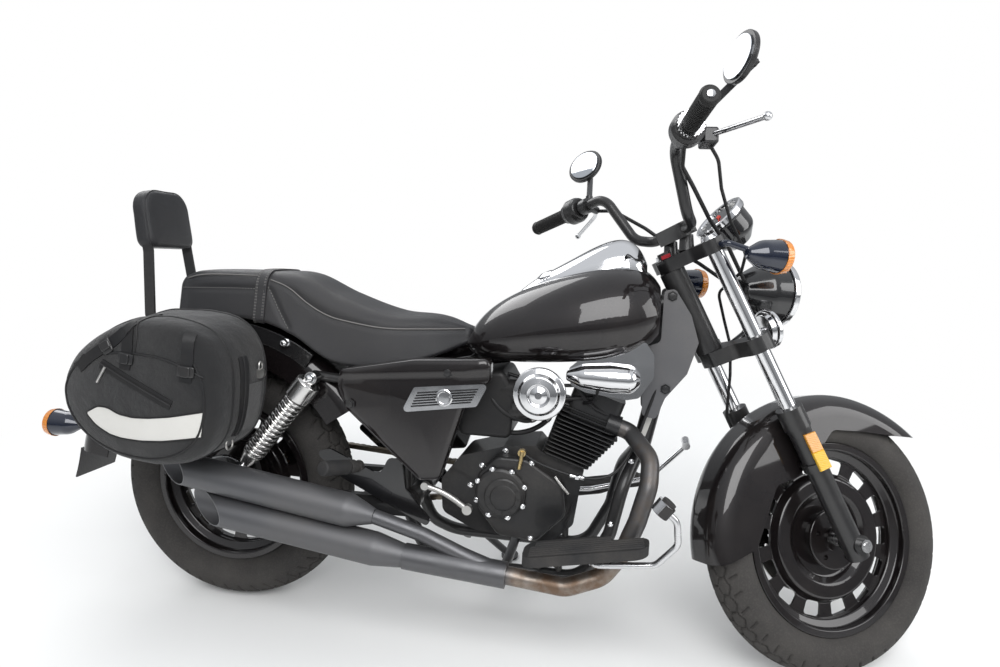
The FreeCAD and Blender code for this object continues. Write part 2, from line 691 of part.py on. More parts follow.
def headlight():
    """The headlight bucket and the bar that ties it to the lower clamp."""
    back = V(-1, 0, 0)
    bucket = turned([(4, 0, 0), (4, HEADLIGHT_RADIUS, 0), (50, HEADLIGHT_RADIUS - 4, 40),
                     (HEADLIGHT_DEPTH, 34, 24),
                     (HEADLIGHT_DEPTH, 0, 0)], HEADLIGHT_CENTRE, back, V(0, 0, 1))
    low = HEADLIGHT_CENTRE + V(-56, 0, -HEADLIGHT_RADIUS + 18)
    tie = bar([low, steer_point(FORK_LEAD + 46, 0, LOWER_CLAMP_TOP - 6),
               steer_point(FORK_LEAD - 8, 0, LOWER_CLAMP_TOP - 14)], 9, 14)
    return largest(fused([bucket, tie]).cut(lower_clamp()))


def headlight_rim():
    """The bright ring and domed glass at the front of the headlight."""
    front = V(1, 0, 0)
    rows = [(-3.7, 0, 0), (-3.7, HEADLIGHT_RADIUS + 1, 1), (-8, HEADLIGHT_RADIUS + 1, 1),
            (-8, HEADLIGHT_RADIUS + 6, 3),
            (6, HEADLIGHT_RADIUS + 5, 5), (14, HEADLIGHT_RADIUS - 8, 4), (10, HEADLIGHT_RADIUS - 12, 2),
            (22, 30, 60), (24, 0, 0)]
    return turned(rows, HEADLIGHT_CENTRE, front, V(0, 0, 1))


def bullet(tip, axis, length, radius):
    """A bullet lamp: rounded tail, straight barrel, short lens."""
    rows = [(0, 0, 0), (0, radius * 0.3, 6), (length * 0.35, radius * 0.86, 40), (length * 0.8, radius, 8),
            (length * 0.8, radius + 1.5, 1), (length, radius - 1, 5), (length, 0, 0)]
    return turned(rows, tip, axis, V(0, 0, 1))


def front_indicators():
    """Bullet indicators on short stems from the upper clamp."""
    lamp = bullet(steer_point(81, -158, UPPER_CLAMP_FOOT - 28), V(1, 0, 0), 94, 36)
    side = 6 - FORK_HALF_SPACING - CLAMP_REACH
    stem = bar([steer_point(57, side, UPPER_CLAMP_FOOT + 12),
                steer_point(59, side - 18, UPPER_CLAMP_FOOT + 10),
                steer_point(118, -154, UPPER_CLAMP_FOOT - 46)], 7, 12)
    return both_sides(largest(fused([lamp, stem]).cut(upper_clamp())))


def horn():
    """The horn: flat round drum with a bright lip, on a strap from the lower clamp."""
    centre, axis = V(1246, -66, 763), unit(V(0.966, 0, 0.259))
    drum = turned([(0, 0, 0), (0, 34, 3), (10, 39, 3), (12, 45, 2), (22, 45, 3), (22, 39, 2), (16, 36, 1),
                   (16, 0, 0)], centre, axis, ACROSS)
    strap = bar([centre + axis * 4, centre - axis * 10, steer_point(FORK_LEAD, -54, LOWER_CLAMP_TOP - 12)],
                6, 8)
    return largest(fused([drum, strap]).cut(lower_clamp()))


def control_cables():
    """Cables from both grips into the back of the headlight, and the brake hose down to the caliper."""
    throttle = [V(932, -262, 1078), V(962, -205, 1056), V(1020, -150, 1042), V(1096, -96, 992),
                V(1168, -58, 948),
                V(1242, -20, 872)]
    clutch = [V(984, 250, 1100), V(1006, 198, 1088), V(1062, 132, 1030), V(1120, 100, 978),
              V(1176, 74, 940), V(1242, 20, 872)]
    hose = [V(990, -252, 1094), V(1016, -248, 1062), V(1060, -192, 1028), V(1118, -136, 986),
            V(1184, -98, 924),
            V(1206, -50, 896), V(1206, 40, 864), steer_point(112, 62, 540), steer_point(98, 62, 480),
            steer_point(62, 60, 420),
            steer_point(20, 86, 330), steer_point(18, 87, 236), V(1318, 86, 446), V(1337, 78, 391)]
    runs = [bar(throttle, CABLE_RADIUS, 40), bar(clutch, CABLE_RADIUS, 40), bar(hose, HOSE_RADIUS, 30)]
    carriers = [switch_housings(), lever_perches(), headlight(), brake_caliper()]
    for carrier in carriers:
        runs = [largest(run.cut(carrier)) for run in runs]
    return Part.Compound(runs)


def front_fender():
    """The deep front fender: rounded channel about the axle, visor ahead, cut away round the fork."""
    stretch = VISOR_STRETCH
    join = spoke_at(VISOR_ANGLE)
    visor_centre = FRONT_AXLE - join * stretch

    def crown(centre, radius, degrees):
        return centre + spoke_at(degrees) * radius
    wide = FRONT_FENDER_RADIUS + stretch
    path = [Part.Arc(crown(FRONT_AXLE, FRONT_FENDER_RADIUS, 194),
                     crown(FRONT_AXLE, FRONT_FENDER_RADIUS, 135),
                     crown(FRONT_AXLE, FRONT_FENDER_RADIUS, VISOR_ANGLE)),
            Part.Arc(crown(visor_centre, wide, VISOR_ANGLE), crown(visor_centre, wide, VISOR_ANGLE - 12),
                     crown(visor_centre, wide, VISOR_ANGLE - 25))]
    rows = channel_rows(FRONT_FENDER_RADIUS, FRONT_FENDER_INNER_RADIUS, FRONT_FENDER_HALF_WIDTH,
                        FENDER_WALL, 48)
    section = rounded_face(rows, lambda side, radius: FRONT_AXLE + ACROSS * side + spoke_at(194) * radius)
    shell = Part.Wire([arc.toShape() for arc in path]).makePipe(section)
    a = FRONT_AXLE
    rows = [(a.x + 285, a.z + 212, 4), (a.x + 246, a.z + 232, 4), (a.x + 150, a.z + 236, 30),
            (a.x + 60, a.z + 244, 20),
            (a.x - 20, a.z + 246, 22), (a.x - 52, a.z + 206, 20), (a.x - 118, a.z + 140, 30),
            (a.x - 172, a.z + 121, 22),
            (a.x - 200, a.z + 50, 40), (a.x - 226, a.z - 14, 30), (a.x - 300, a.z - 46, 6),
            (a.x - 420, a.z - 70, 0),
            (a.x - 420, a.z - 400, 0), (a.x + 400, a.z - 400, 0), (a.x + 400, a.z + 160, 0)]
    opening = side_plate(rows, -150, 150)
    return shell.cut(opening)


def spoke_at(degrees):
    return V(math.cos(math.radians(degrees)), 0, math.sin(math.radians(degrees)))


def channel_rows(radius, inner, half, wall, corner):
    """A round-shouldered channel section: rows of (across, radius, corner radius)."""
    return [(-half, inner, 0), (-half, radius, corner), (half, radius, corner), (half, inner, 0),
            (half - wall, inner, 0),
            (half - wall, radius - wall, corner - wall), (wall - half, radius - wall, corner - wall),
            (wall - half, inner, 0)]


def brake_caliper():
    """The caliper over the disc's rear edge, on its lug from the left slider."""
    axis = spoke_at(CALIPER_ANGLE)
    middle = FRONT_AXLE + axis * (BRAKE_DISC_RADIUS - 7) + ACROSS * (BRAKE_DISC_Y + BRAKE_DISC_WALL / 2)
    body = Part.makeBox(74, 46, 50, V(-37, -23, -25))
    body = body.makeFillet(7, body.Edges)
    body.Placement = FreeCAD.Placement(middle, FreeCAD.Rotation(axis.cross(ACROSS), ACROSS, axis, "ZYX"))
    slot = turned([(BRAKE_DISC_Y - 4, 40, 0), (BRAKE_DISC_Y - 4, BRAKE_DISC_RADIUS + 6, 0),
                   (BRAKE_DISC_Y + BRAKE_DISC_WALL + 4, BRAKE_DISC_RADIUS + 6, 0),
                   (BRAKE_DISC_Y + BRAKE_DISC_WALL + 4, 40, 0)], FRONT_AXLE, ACROSS, V(0, 0, 1))
    return largest(body.cut(slot).cut(fork_sliders()))


def frame():
    """Head tube, backbone, downtube splitting into a cradle, seat rails and the rear pivot plates."""
    head_low, head_high = LOWER_CLAMP_TOP + HEAD_GAP, UPPER_CLAMP_FOOT - HEAD_GAP
    head = cylinder(steer_point(0, 0, head_low), steer_point(0, 0, head_high), HEAD_TUBE_RADIUS)
    backbone = backbone_tube(MAIN_TUBE_RADIUS)
    chin = steer_point(0, 0, 578)
    downtube = bar([chin, V(1040, 0, 606), V(1016, 0, 478)], MAIN_TUBE_RADIUS, 60)
    y = CRADLE_HALF_WIDTH
    cradle = cradle_tube()
    rail = seat_rail(SEAT_RAIL_RADIUS)
    pin = cylinder(V(SHOCK_TOP.x, -RAIL_Y, SHOCK_TOP.z),
                   V(SHOCK_TOP.x, -SHOCK_Y + SHOCK_EYE_HALF, SHOCK_TOP.z), 8)
    lug = cylinder(V(PIVOT_X, -UPRIGHT_Y - 13, PIVOT_Z), V(PIVOT_X, -UPRIGHT_Y + 14, PIVOT_Z),
                   PIVOT_TUBE_RADIUS + 9)
    sides = [cradle, rail, pin, lug]
    tubes = [head, backbone, downtube] + sides + [mirrored(shape) for shape in sides]
    crossings = [cylinder(V(458, -BRACKET_Y, 420), V(458, BRACKET_Y, 420), CRADLE_TUBE_RADIUS - 4),
                 cylinder(V(1064, -NECK_PLATE_Y, 817), V(1064, NECK_PLATE_Y, 817), 8),
                 cylinder(V(1059, -NECK_PLATE_Y, 633), V(1059, NECK_PLATE_Y, 633), 8),
                 cylinder(V(720, -y, CRADLE_HEIGHT), V(720, y, CRADLE_HEIGHT), CRADLE_TUBE_RADIUS - 3),
                 cylinder(V(500, -UPRIGHT_Y, 630), V(500, UPRIGHT_Y, 630), SEAT_RAIL_RADIUS)]
    axis = stand_axis()
    elbow = STAND_PIVOT - axis * 32
    crossings += [cylinder(V(590, y, CRADLE_HEIGHT - 2), elbow, 9),
                  cylinder(elbow - axis * 8, STAND_PIVOT - axis * (STAND_HUB_HALF + FACE_GAP), 13),
                  cylinder(elbow, STAND_PIVOT + axis * (STAND_HUB_HALF + 5), STAND_PIN_RADIUS),
                  cylinder(STAND_PIVOT + axis * (STAND_HUB_HALF + FACE_GAP),
                           STAND_PIVOT + axis * (STAND_HUB_HALF + 5), 13)]
    body = joined(tubes + crossings)
    stem_bore = cylinder(steer_point(0, 0, head_low - 10), steer_point(0, 0, head_high + 10),
                         STEM_RADIUS + BEARING_CLEARANCE)
    pivot_bore = cylinder(V(PIVOT_X, -150, PIVOT_Z), V(PIVOT_X, 150, PIVOT_Z),
                          PIVOT_TUBE_RADIUS + BEARING_CLEARANCE)
    return body.cut(stem_bore).cut(pivot_bore)


def cradle_tube():
    """The right tube of the cradle, from the downtube round under the engine and up behind it."""
    y = CRADLE_HALF_WIDTH
    return bar([V(1018, -8, 490), V(978, -y + 6, 412), V(956, -y, 300), V(900, -y, CRADLE_HEIGHT),
                V(556, -y, CRADLE_HEIGHT),
                V(504, -UPRIGHT_Y - 6, 226), V(464, -UPRIGHT_Y, 312), V(458, -UPRIGHT_Y, 470),
                V(500, -UPRIGHT_Y, 640)],
               CRADLE_TUBE_RADIUS, 70)


def seat_rail(radius):
    """The right seat rail, from the backbone out to the top of the shock absorber."""
    return bar([V(625, -10, 662), V(550, -66, 640), V(400, -RAIL_Y, 600),
                V(SHOCK_TOP.x - 8, -RAIL_Y, SHOCK_TOP.z)], radius, 80)


def neck_plates():
    """The pressed plates that cover the steering head and downtube on both sides."""
    rows = [(1042, 852, 10), (1066, 856, 10), (1104, 800, 20), (1124, 740, 10), (1104, 668, 14),
            (1060, 610, 10), (1042, 560, 10),
            (1012, 566, 10), (1006, 640, 20), (1004, 722, 14), (1042, 736, 14)]
    plate = side_plate(rows, -NECK_PLATE_Y - 4, -NECK_PLATE_Y)
    return both_sides(plate)


def fuel_tank():
    """The teardrop tank: lofted sections, with a tunnel over the backbone."""
    w = TANK_HALF_WIDTH
    sections = [hull_section(598, 694, 716, 704, w * 0.30, 0.55),
                hull_section(660, 674, 796, 722, w * 0.70, 0.60),
                hull_section(770, 678, 856, 752, w * 0.94, 0.66), hull_section(880, 690, 896, 774, w, 0.70),
                hull_section(975, 712, 902, 790, w * 0.92, 0.70),
                hull_section(1034, 752, 858, 802, w * 0.66, 0.66)]
    shell = loft(sections)
    tunnel = bar([V(1125, 0, 847), V(960, 0, 790), V(560, 0, 657)], TANK_TUNNEL_HALF_WIDTH, 100)
    slot = side_plate([(560, 657, 0), (960, 790, 0), (1125, 847, 0), (1125, 560, 0), (560, 560, 0)],
                      -TANK_TUNNEL_HALF_WIDTH, TANK_TUNNEL_HALF_WIDTH)
    return shell.cut(tunnel).cut(slot)


def tank_console(tank):
    """The bright console along the top of the tank, with the round filler cap."""
    w = CONSOLE_HALF_WIDTH
    sections = [hull_section(716, 800, 834, 818, w * 0.24, 0.9),
                hull_section(800, 804, 892, 850, w * 0.78, 0.9),
                hull_section(900, 830, 950, 880, w, 0.95), hull_section(960, 845, 958, 886, w * 0.96, 0.95),
                hull_section(1002, 858, 908, 880, w * 0.7, 0.9)]
    shell = loft(sections)
    filler = turned([(0, 0, 0), (0, FILLER_RADIUS, 0), (22, FILLER_RADIUS, 4), (30, FILLER_RADIUS - 14, 6),
                     (33, 0, 0)],
                    V(790, 0, 852), unit(V(-0.30, 0, 0.95)), ACROSS)
    return largest(fused([shell, filler]).cut(tank))


def seat():
    """The two-up seat: high passenger cushion, hump and scooped rider's cushion."""
    w = SEAT_HALF_WIDTH
    sections = [seat_section(-118, 736, 826, w * 0.70, w * 0.56, 30),
                seat_section(-60, 734, 842, w * 0.84, w * 0.72, 34),
                seat_section(90, 733, 847, w * 0.92, w * 0.76, 36),
                seat_section(190, 705, 843, w * 0.98, w * 0.72, 40),
                seat_section(290, 650, 800, w, w * 0.80, 40),
                seat_section(410, 640, 763, w * 0.96, w * 0.80, 34),
                seat_section(520, 668, 758, w * 0.70, w * 0.54, 28),
                seat_section(596, 700, 738, w * 0.36, w * 0.26, 12)]
    body = loft(sections)
    under = turned([(-200, 0, 0), (-200, REAR_FENDER_RADIUS + 8, 0), (200, REAR_FENDER_RADIUS + 8, 0),
                    (200, 0, 0)], REAR_AXLE, ACROSS, V(0, 0, 1))
    rails = seat_rail(SEAT_RAIL_RADIUS + 1)
    backbone = backbone_tube(MAIN_TUBE_RADIUS + 1)
    return body.cut(under).cut(both_sides(rails)).cut(backbone)


def backrest_pad():
    """The backrest pad: a tall cushion with rounded edges, tilted back."""
    rows = [(-24, -72, 26), (24, -72, 18), (24, 72, 22), (-24, 72, 22)]
    centre, tilt = V(-222, 0, 963), math.radians(9)

    def place(across, up):
        return centre + V(across * math.cos(tilt) - up * math.sin(tilt), -PAD_HALF_WIDTH,
                          across * math.sin(tilt) + up * math.cos(tilt))
    pad = rounded_face(rows, place).extrude(V(0, 2 * PAD_HALF_WIDTH, 0))
    return pad.makeFillet(16, [edge for edge in pad.Edges if abs(edge.CenterOfMass.y) > PAD_HALF_WIDTH - 1])


def backrest_bars():
    """Flat uprights that stand in the pad, cranked forward to the fender rails."""
    y = REAR_FENDER_HALF_WIDTH + RAIL_WALL + BACKREST_BAR_WALL / 2
    leg = strip([V(-216, BACKREST_TOP_Y, 940), V(-206, BACKREST_TOP_Y, 884), V(-188, y, 724),
                 V(-150, y, 696), V(-20, y, 716)], 26, 26,
                BACKREST_BAR_WALL)
    return both_sides(largest(leg.cut(fender_rails())))


def rear_fender():
    """The rear fender: rounded channel about the axle with a kicked-out tail flap."""
    rows = channel_rows(REAR_FENDER_RADIUS, REAR_FENDER_RADIUS - REAR_FENDER_SKIRT, REAR_FENDER_HALF_WIDTH,
                        FENDER_WALL, 44)
    channel = turned(rows, REAR_AXLE, ACROSS * -1, spoke_at(FENDER_FRONT_ANGLE),
                     FENDER_REAR_ANGLE - FENDER_FRONT_ANGLE)
    hinge = spoke_at(FENDER_REAR_ANGLE)
    centre = REAR_AXLE + hinge * (REAR_FENDER_RADIUS + FLAP_RADIUS)
    flap_rows = [(-side, radius, 0) for side,
                 radius in ((FLAP_HALF_WIDTH, FLAP_RADIUS), (-FLAP_HALF_WIDTH, FLAP_RADIUS),
                                                         (-FLAP_HALF_WIDTH, FLAP_RADIUS + 4),
                            (FLAP_HALF_WIDTH, FLAP_RADIUS + 4))]
    flap = turned(flap_rows, centre, ACROSS, hinge * -1, FLAP_ANGLE)
    return channel.fuse(flap).removeSplitter()


def fender_rails():
    """Side rails along the fender, with domed nuts."""
    inner, outer = REAR_FENDER_RADIUS - RAIL_INNER_DROP, REAR_FENDER_RADIUS + 4
    low = -REAR_FENDER_HALF_WIDTH - RAIL_WALL
    rows = [(low, inner, 2), (low, outer, 2), (low + RAIL_WALL, outer, 0), (low + RAIL_WALL, inner, 0)]
    rail = turned(rows, REAR_AXLE, ACROSS * -1, spoke_at(56), 74)
    return both_sides(rail)


def side_covers():
    """The triangular covers below the seat, crowned outwards, each with a boss on the seat rail."""
    rows = [(326, 640, 16), (500, 674, 60), (676, 686, 14), (678, 638, 10), (620, 572, 14), (570, 402, 14),
            (524, 396, 14),
            (345, 548, 40), (322, 600, 20)]
    cover = side_plate(rows, -158, -126)
    cover = cover.makeFillet(9, [edge for edge in cover.Edges if edge.CenterOfMass.y < -157.9])
    boss = cylinder(V(392, -128, 599), V(392, -RAIL_Y, 599), 8).cut(seat_rail(SEAT_RAIL_RADIUS))
    outer = min(boss.Solids, key=lambda solid: solid.CenterOfMass.y)
    return both_sides(fused([cover, outer]))


def side_badges():
    """The bright slanted plate on each side cover."""
    rows = [(479, 554, 8), (650, 580, 8), (676, 633, 8), (507, 613, 8)]
    return both_sides(side_plate(rows, -163, -158))


def crankcase():
    """The engine cases: one closed block with the round covers on both sides."""
    base, _, fore = cylinder_axes()
    seat_front, seat_back = base + fore * 44, base - fore * 62
    rows = [(560, 300, 24), (640, 262, 20), (820, 250, 24), (872, 300, 20), (884, 400, 16),
            (seat_front.x, seat_front.z, 5), (seat_back.x, seat_back.z, 5), (776, 480, 6),
            (700, 470, 16), (600, 440, 24), (555, 380, 20)]
    block = side_plate(rows, -70, 70)
    right_rows = [(650, 330, 30), (700, 268, 30), (790, 262, 30), (856, 330, 30), (846, 400, 24),
                  (760, 455, 30), (690, 455, 30), (648, 410, 30)]
    right = side_plate(right_rows, -CASE_HALF_WIDTH, -69)
    right = right.makeFillet(8,
                             [edge for edge in right.Edges if edge.CenterOfMass.y < -CASE_HALF_WIDTH + 0.1])
    centre = V(704, -CASE_HALF_WIDTH, 372)
    clutch = turned([(-1, 0, 0), (-1, CLUTCH_COVER_RADIUS + 8, 0), (8, CLUTCH_COVER_RADIUS + 6, 4),
                     (12, CLUTCH_COVER_RADIUS, 3), (12, 0, 0)], centre, V(0, -1, 0), V(0, 0, 1))
    left_rows = [(636, 300, 20), (660, 266, 30), (790, 262, 30), (850, 330, 30), (842, 400, 24),
                 (760, 448, 30), (660, 440, 30), (636, 400, 20)]
    left = side_plate(left_rows, 69, CASE_HALF_WIDTH - 10)
    left = left.makeFillet(8, [edge for edge in left.Edges if edge.CenterOfMass.y > CASE_HALF_WIDTH - 10.1])
    generator = turned([(-1, 0, 0), (-1, 66, 0), (14, 60, 8), (14, 0, 0)],
                       V(760, CASE_HALF_WIDTH - 10, 352), V(0, 1, 0), V(0, 0, 1))
    shaft = cylinder(V(GEARBOX_SHAFT_X, 60, GEARBOX_SHAFT_Z),
                     V(GEARBOX_SHAFT_X, CHAIN_Y + 10, GEARBOX_SHAFT_Z), 12)
    sprocket = cylinder(V(GEARBOX_SHAFT_X, CHAIN_Y - 3, GEARBOX_SHAFT_Z),
                        V(GEARBOX_SHAFT_X, CHAIN_Y + 3, GEARBOX_SHAFT_Z), FRONT_SPROCKET_RADIUS + 2)
    return fused([block, right, clutch, left, generator, shaft, sprocket])


def cylinder_axes():
    """The foot of the cylinder, its own upward direction and the direction ahead of it."""
    lean = math.radians(CYLINDER_LEAN)
    up = V(math.sin(lean), 0, math.cos(lean))
    fore = V(math.cos(lean), 0, -math.sin(lean))
    return V(848, 0, 447), up, fore


def cylinder_block(low, high, back, front, half_across, corner):
    """A rounded slab square to the cylinder's axis, from behind it to ahead of it."""
    base, up, fore = cylinder_axes()
    rows = [(-back, -half_across, corner), (front, -half_across, corner), (front, half_across, corner),
            (-back, half_across, corner)]
    face = rounded_face(rows, lambda a, b: base + fore * a + ACROSS * b + up * low)
    return face.extrude(up * (high - low))


def engine_cylinder():
    """The finned barrel and head, leaning forward; the fins reach further ahead towards the top."""
    top = FIN_COUNT * FIN_PITCH + 5
    half = CYLINDER_HALF_LENGTH
    blocks = [cylinder_block(0, top, half - 16, half - 22, BARREL_RADIUS + 6, 20)]
    for index in range(FIN_COUNT):
        low = 5 + index * FIN_PITCH
        blocks.append(cylinder_block(low, low + FIN_WALL, half, half - 10 + FIN_SPREAD * low,
                                     CYLINDER_HALF_WIDTH, 14))
    blocks.append(cylinder_block(top - 1, top + HEAD_HEIGHT, half - 14, half + 16, CYLINDER_HALF_WIDTH - 28,
                                 16))
    for index in range(3):
        low = top + index * FIN_PITCH
        blocks.append(cylinder_block(low, low + FIN_WALL, half, half + 16 - 6 * index,
                                     CYLINDER_HALF_WIDTH - 6 - 8 * index, 14))
    fore = cylinder_axes()[2]
    blocks.append(cylinder(exhaust_port() - fore * 30, exhaust_port(), HEADER_RADIUS + 5))
    blocks.append(cylinder(intake_port() + fore * 30, intake_port(), 22))
    return fused(blocks)


def exhaust_port():
    """Where the header meets the front of the head."""
    base, up, fore = cylinder_axes()
    return base + up * (PORT_HEIGHT - 6) + fore * (CYLINDER_HALF_LENGTH + 22) - ACROSS * 48


def intake_port():
    """Where the carburettor meets the back of the head."""
    base, up, fore = cylinder_axes()
    return base + up * (PORT_HEIGHT - 10) - fore * (CYLINDER_HALF_LENGTH + 6) - ACROSS * 30


def air_cover():
    """The carburettor under its round stepped bright cover, with the intake hose."""
    centre = V(787, -150, 619)
    cover = turned([(0, 0, 0), (0, 50, 3), (6, 58, 4), (16, 58, 5), (20, 46, 3), (30, 40, 5), (33, 24, 3),
                    (28, 20, 2),
                    (33, 8, 2), (33, 0, 0)], centre, V(0, -1, 0), V(0, 0, 1))
    body = cylinder(centre + V(0, 90, 0), centre + V(0, -1, 0), 27)
    elbow = intake_port() - cylinder_axes()[2] * 19
    manifold = [cylinder(intake_port(), elbow, 18), Part.makeSphere(18, elbow),
                cylinder(elbow, centre + V(0, 72, 0), 18)]
    return fused([cover, body] + manifold)


def backbone_tube(radius):
    """The frame's backbone, from the steering head down behind the engine."""
    return bar([steer_point(0, 0, 640), V(960, 0, 790), V(660, 0, 690), V(560, 0, 610), V(505, 0, 470)],
               radius, 120)


def air_box():
    """The black air box between the side covers, round the backbone, with the hose to the carburettor."""
    rows = [(588, 492, 20), (604, 634, 24), (694, 650, 16), (724, 600, 24), (716, 492, 16)]
    box = side_plate(rows, -AIR_BOX_HALF_WIDTH, AIR_BOX_HALF_WIDTH)
    box = box.makeFillet(12,
                         [edge for edge in box.Edges if abs(edge.CenterOfMass.y) > AIR_BOX_HALF_WIDTH - 0.1])
    hose = bar([V(690, -60, 604), V(730, -66, 606), V(786, -98, 614)], 24, 40)
    body = cylinder(V(787, 0, 619), V(787, -160, 619), 27 + FACE_GAP)
    shape = fused([box, hose]).cut(body).cut(backbone_tube(MAIN_TUBE_RADIUS + FACE_GAP))
    return largest(shape.cut(both_sides(seat_rail(SEAT_RAIL_RADIUS + FACE_GAP))))


def coil_cover(tank):
    """The bright cover below the tank: a shaped plate with a bullet bulge."""
    rows = [(0, 0, 0), (0, 10, 6), (34, 25, 40), (96, 32, 60), (144, 30, 26), (160, 12, 10), (161, 0, 0)]
    bullet_shell = turned(rows, V(840, -118, 657), V(1, 0, 0), V(0, 0, 1))
    plate = [(850, 634, 8), (844, 672, 10), (880, 704, 10), (985, 730, 10), (1006, 742, 8), (1027, 712, 20),
             (1029, 663, 14),
             (1000, 616, 12), (975, 610, 10), (884, 620, 20)]
    return largest(fused([side_plate(plate, -108, -101), bullet_shell]).cut(tank))


def header_points():
    start = exhaust_port()
    return [start, start + cylinder_axes()[2] * 26, V(1034, -116, 484), V(1032, -152, 436),
            V(1012, -166, 360), V(986, -171, 290),
            V(945, -176, 232), V(868, -186, 203), V(735, MUFFLER_Y, 217)]


def exhaust_pipes():
    """The header from the port to the sleeve, and the link pipe that feeds the upper silencer."""
    header = bar(header_points(), HEADER_RADIUS, 60)
    sleeve = cylinder(V(738, MUFFLER_Y, 216.6), V(506, MUFFLER_Y, 233), SLEEVE_RADIUS)
    link = bar([V(720, MUFFLER_Y, 226), V(640, MUFFLER_Y + 2, 250), V(545, MUFFLER_Y, 288),
                V(432, MUFFLER_Y, 317)], LINK_PIPE_RADIUS, 160)
    return largest(fused([header, sleeve, link]).cut(mufflers()))


def silencer(front, rear, front_radius, cone_length):
    """One silencer: cone, barrel and hollow end cut aslant; its liner stops short of the bulkhead."""
    direction = unit(rear - front)
    length = (rear - front).Length
    inner = MUFFLER_RADIUS - MUFFLER_WALL
    liner_front = length - OUTLET_DEPTH
    bulkhead = liner_front - LINER_GAP
    rows = [(0, 0, 0), (0, front_radius, 0), (cone_length, MUFFLER_RADIUS, 40), (length, MUFFLER_RADIUS, 0),
            (length, inner, 0), (liner_front, inner, 0), (liner_front, inner + LINER_WALL, 0),
            (bulkhead, inner + LINER_WALL, 0),
            (bulkhead, 0, 0)]
    body = turned(rows, front, direction, ACROSS)
    normal = unit(SLASH_NORMAL)
    knife = cylinder(rear - direction * SLASH_BACK, rear - direction * SLASH_BACK + normal * 300, 300)
    return largest(body.cut(knife))


def mufflers():
    """Two slash-cut silencers, one above the other, on the right."""
    upper = silencer(*UPPER_LINE, LINK_PIPE_RADIUS + 1, 60)
    lower = silencer(*LOWER_LINE, SLEEVE_RADIUS - 3, 70)
    return Part.Compound([upper, lower])


def shock_absorbers():
    """Twin spring units: eyes, bright shroud, coiled spring and foot."""
    top = V(SHOCK_TOP.x, -SHOCK_Y, SHOCK_TOP.z)
    foot = V(SHOCK_FOOT.x, -SHOCK_Y, SHOCK_FOOT.z)
    down = unit(foot - top)
    length = (foot - top).Length
    core = SPRING_RADIUS - 2 * SPRING_WIRE_RADIUS + 1
    spring_top, spring_foot = 66.0, length - 48.0
    pitch = (spring_foot - spring_top) / SPRING_TURNS
    rows = [(12, 0, 0), (12, 24, 3), (16, 30, 3), (64, 31, 3), (64, core, 0)]
    for index in range(SPRING_TURNS):
        middle = spring_top + (index + 0.5) * pitch
        for reach, radius, corner in ((-1, core, 0), (-1, SPRING_RADIUS, 4), (1, SPRING_RADIUS, 4),
                                      (1, core, 0)):
            rows.append((middle + reach * SPRING_WIRE_RADIUS, radius, corner))
    rows += [(length - 46, core, 0), (length - 46, 26, 2), (length - 36, 22, 3), (length - 12, 16, 3),
             (length - 12, 0, 0)]
    unit_body = turned(rows, top, down, down.cross(ACROSS))
    eyes = [cylinder(spot - ACROSS * SHOCK_EYE_HALF, spot + ACROSS * SHOCK_EYE_HALF,
                     SHOCK_EYE_RADIUS) for spot in (top, foot)]
    return both_sides(fused([unit_body] + eyes))


def swingarm():
    """Two arms from the pivot tube to the axle, with a cross tube ahead of the tyre and shock lugs."""
    y = ARM_Y
    half = ARM_HEIGHT / 2
    rows = [(PIVOT_X + 24, PIVOT_Z - 22, 18), (PIVOT_X + 24, PIVOT_Z + 22, 18),
            (120, REAR_TYRE_RADIUS + half + 4, 30), (-34, REAR_TYRE_RADIUS + half - 4, 14),
            (-34, REAR_TYRE_RADIUS - half + 4, 14), (120, REAR_TYRE_RADIUS - half, 30)]
    arm = side_plate(rows, -y - ARM_WALL / 2, -y + ARM_WALL / 2)
    lug = side_plate([(50, REAR_TYRE_RADIUS + 10, 6), (64, 398, 14), (100, 398, 14),
                      (124, REAR_TYRE_RADIUS + 10, 6)], -y - ARM_WALL / 2, -y + ARM_WALL / 2)
    pin = cylinder(V(SHOCK_FOOT.x, -y, SHOCK_FOOT.z),
                   V(SHOCK_FOOT.x, -SHOCK_Y + SHOCK_EYE_HALF, SHOCK_FOOT.z), 8)
    side = fused([arm, lug, pin])
    pivot = cylinder(V(PIVOT_X, -y, PIVOT_Z), V(PIVOT_X, y, PIVOT_Z), PIVOT_TUBE_RADIUS)
    brace = cylinder(V(368, -y, 312), V(368, y, 312), 15)
    axle_hole = cylinder(REAR_AXLE - ACROSS * 150, REAR_AXLE + ACROSS * 150,
                         AXLE_RADIUS + BEARING_CLEARANCE)
    return fused([side, mirrored(side), pivot, brace]).cut(axle_hole)


def rear_axle():
    """The rear spindle with its nuts and spacers."""
    reach = ARM_Y + ARM_WALL / 2
    spindle = cylinder(REAR_AXLE - ACROSS * (reach + 16), REAR_AXLE + ACROSS * (reach + 12), AXLE_RADIUS)
    nuts = [cylinder(REAR_AXLE - ACROSS * (reach + 12), REAR_AXLE - ACROSS * (reach + FACE_GAP), 14),
            cylinder(REAR_AXLE + ACROSS * (reach + FACE_GAP), REAR_AXLE + ACROSS * (reach + 10), 13)]
    inner = ARM_Y - ARM_WALL / 2 - FACE_GAP
    drum_plate = turned([(-inner, AXLE_RADIUS - 1, 0), (-inner, 30, 3), (-84, 78, 4), (-72, 80, 2),
                         (-72, 30, 0), (-REAR_HUB_HALF_WIDTH - FACE_GAP, 24, 0),
                         (-REAR_HUB_HALF_WIDTH - FACE_GAP, AXLE_RADIUS - 1, 0)], REAR_AXLE, ACROSS,
                        V(0, 0, 1))
    left_spacer = cylinder(REAR_AXLE + ACROSS * (CHAIN_Y + 4 + FACE_GAP), REAR_AXLE + ACROSS * inner, 13)
    return fused([spindle, drum_plate, left_spacer] + nuts)


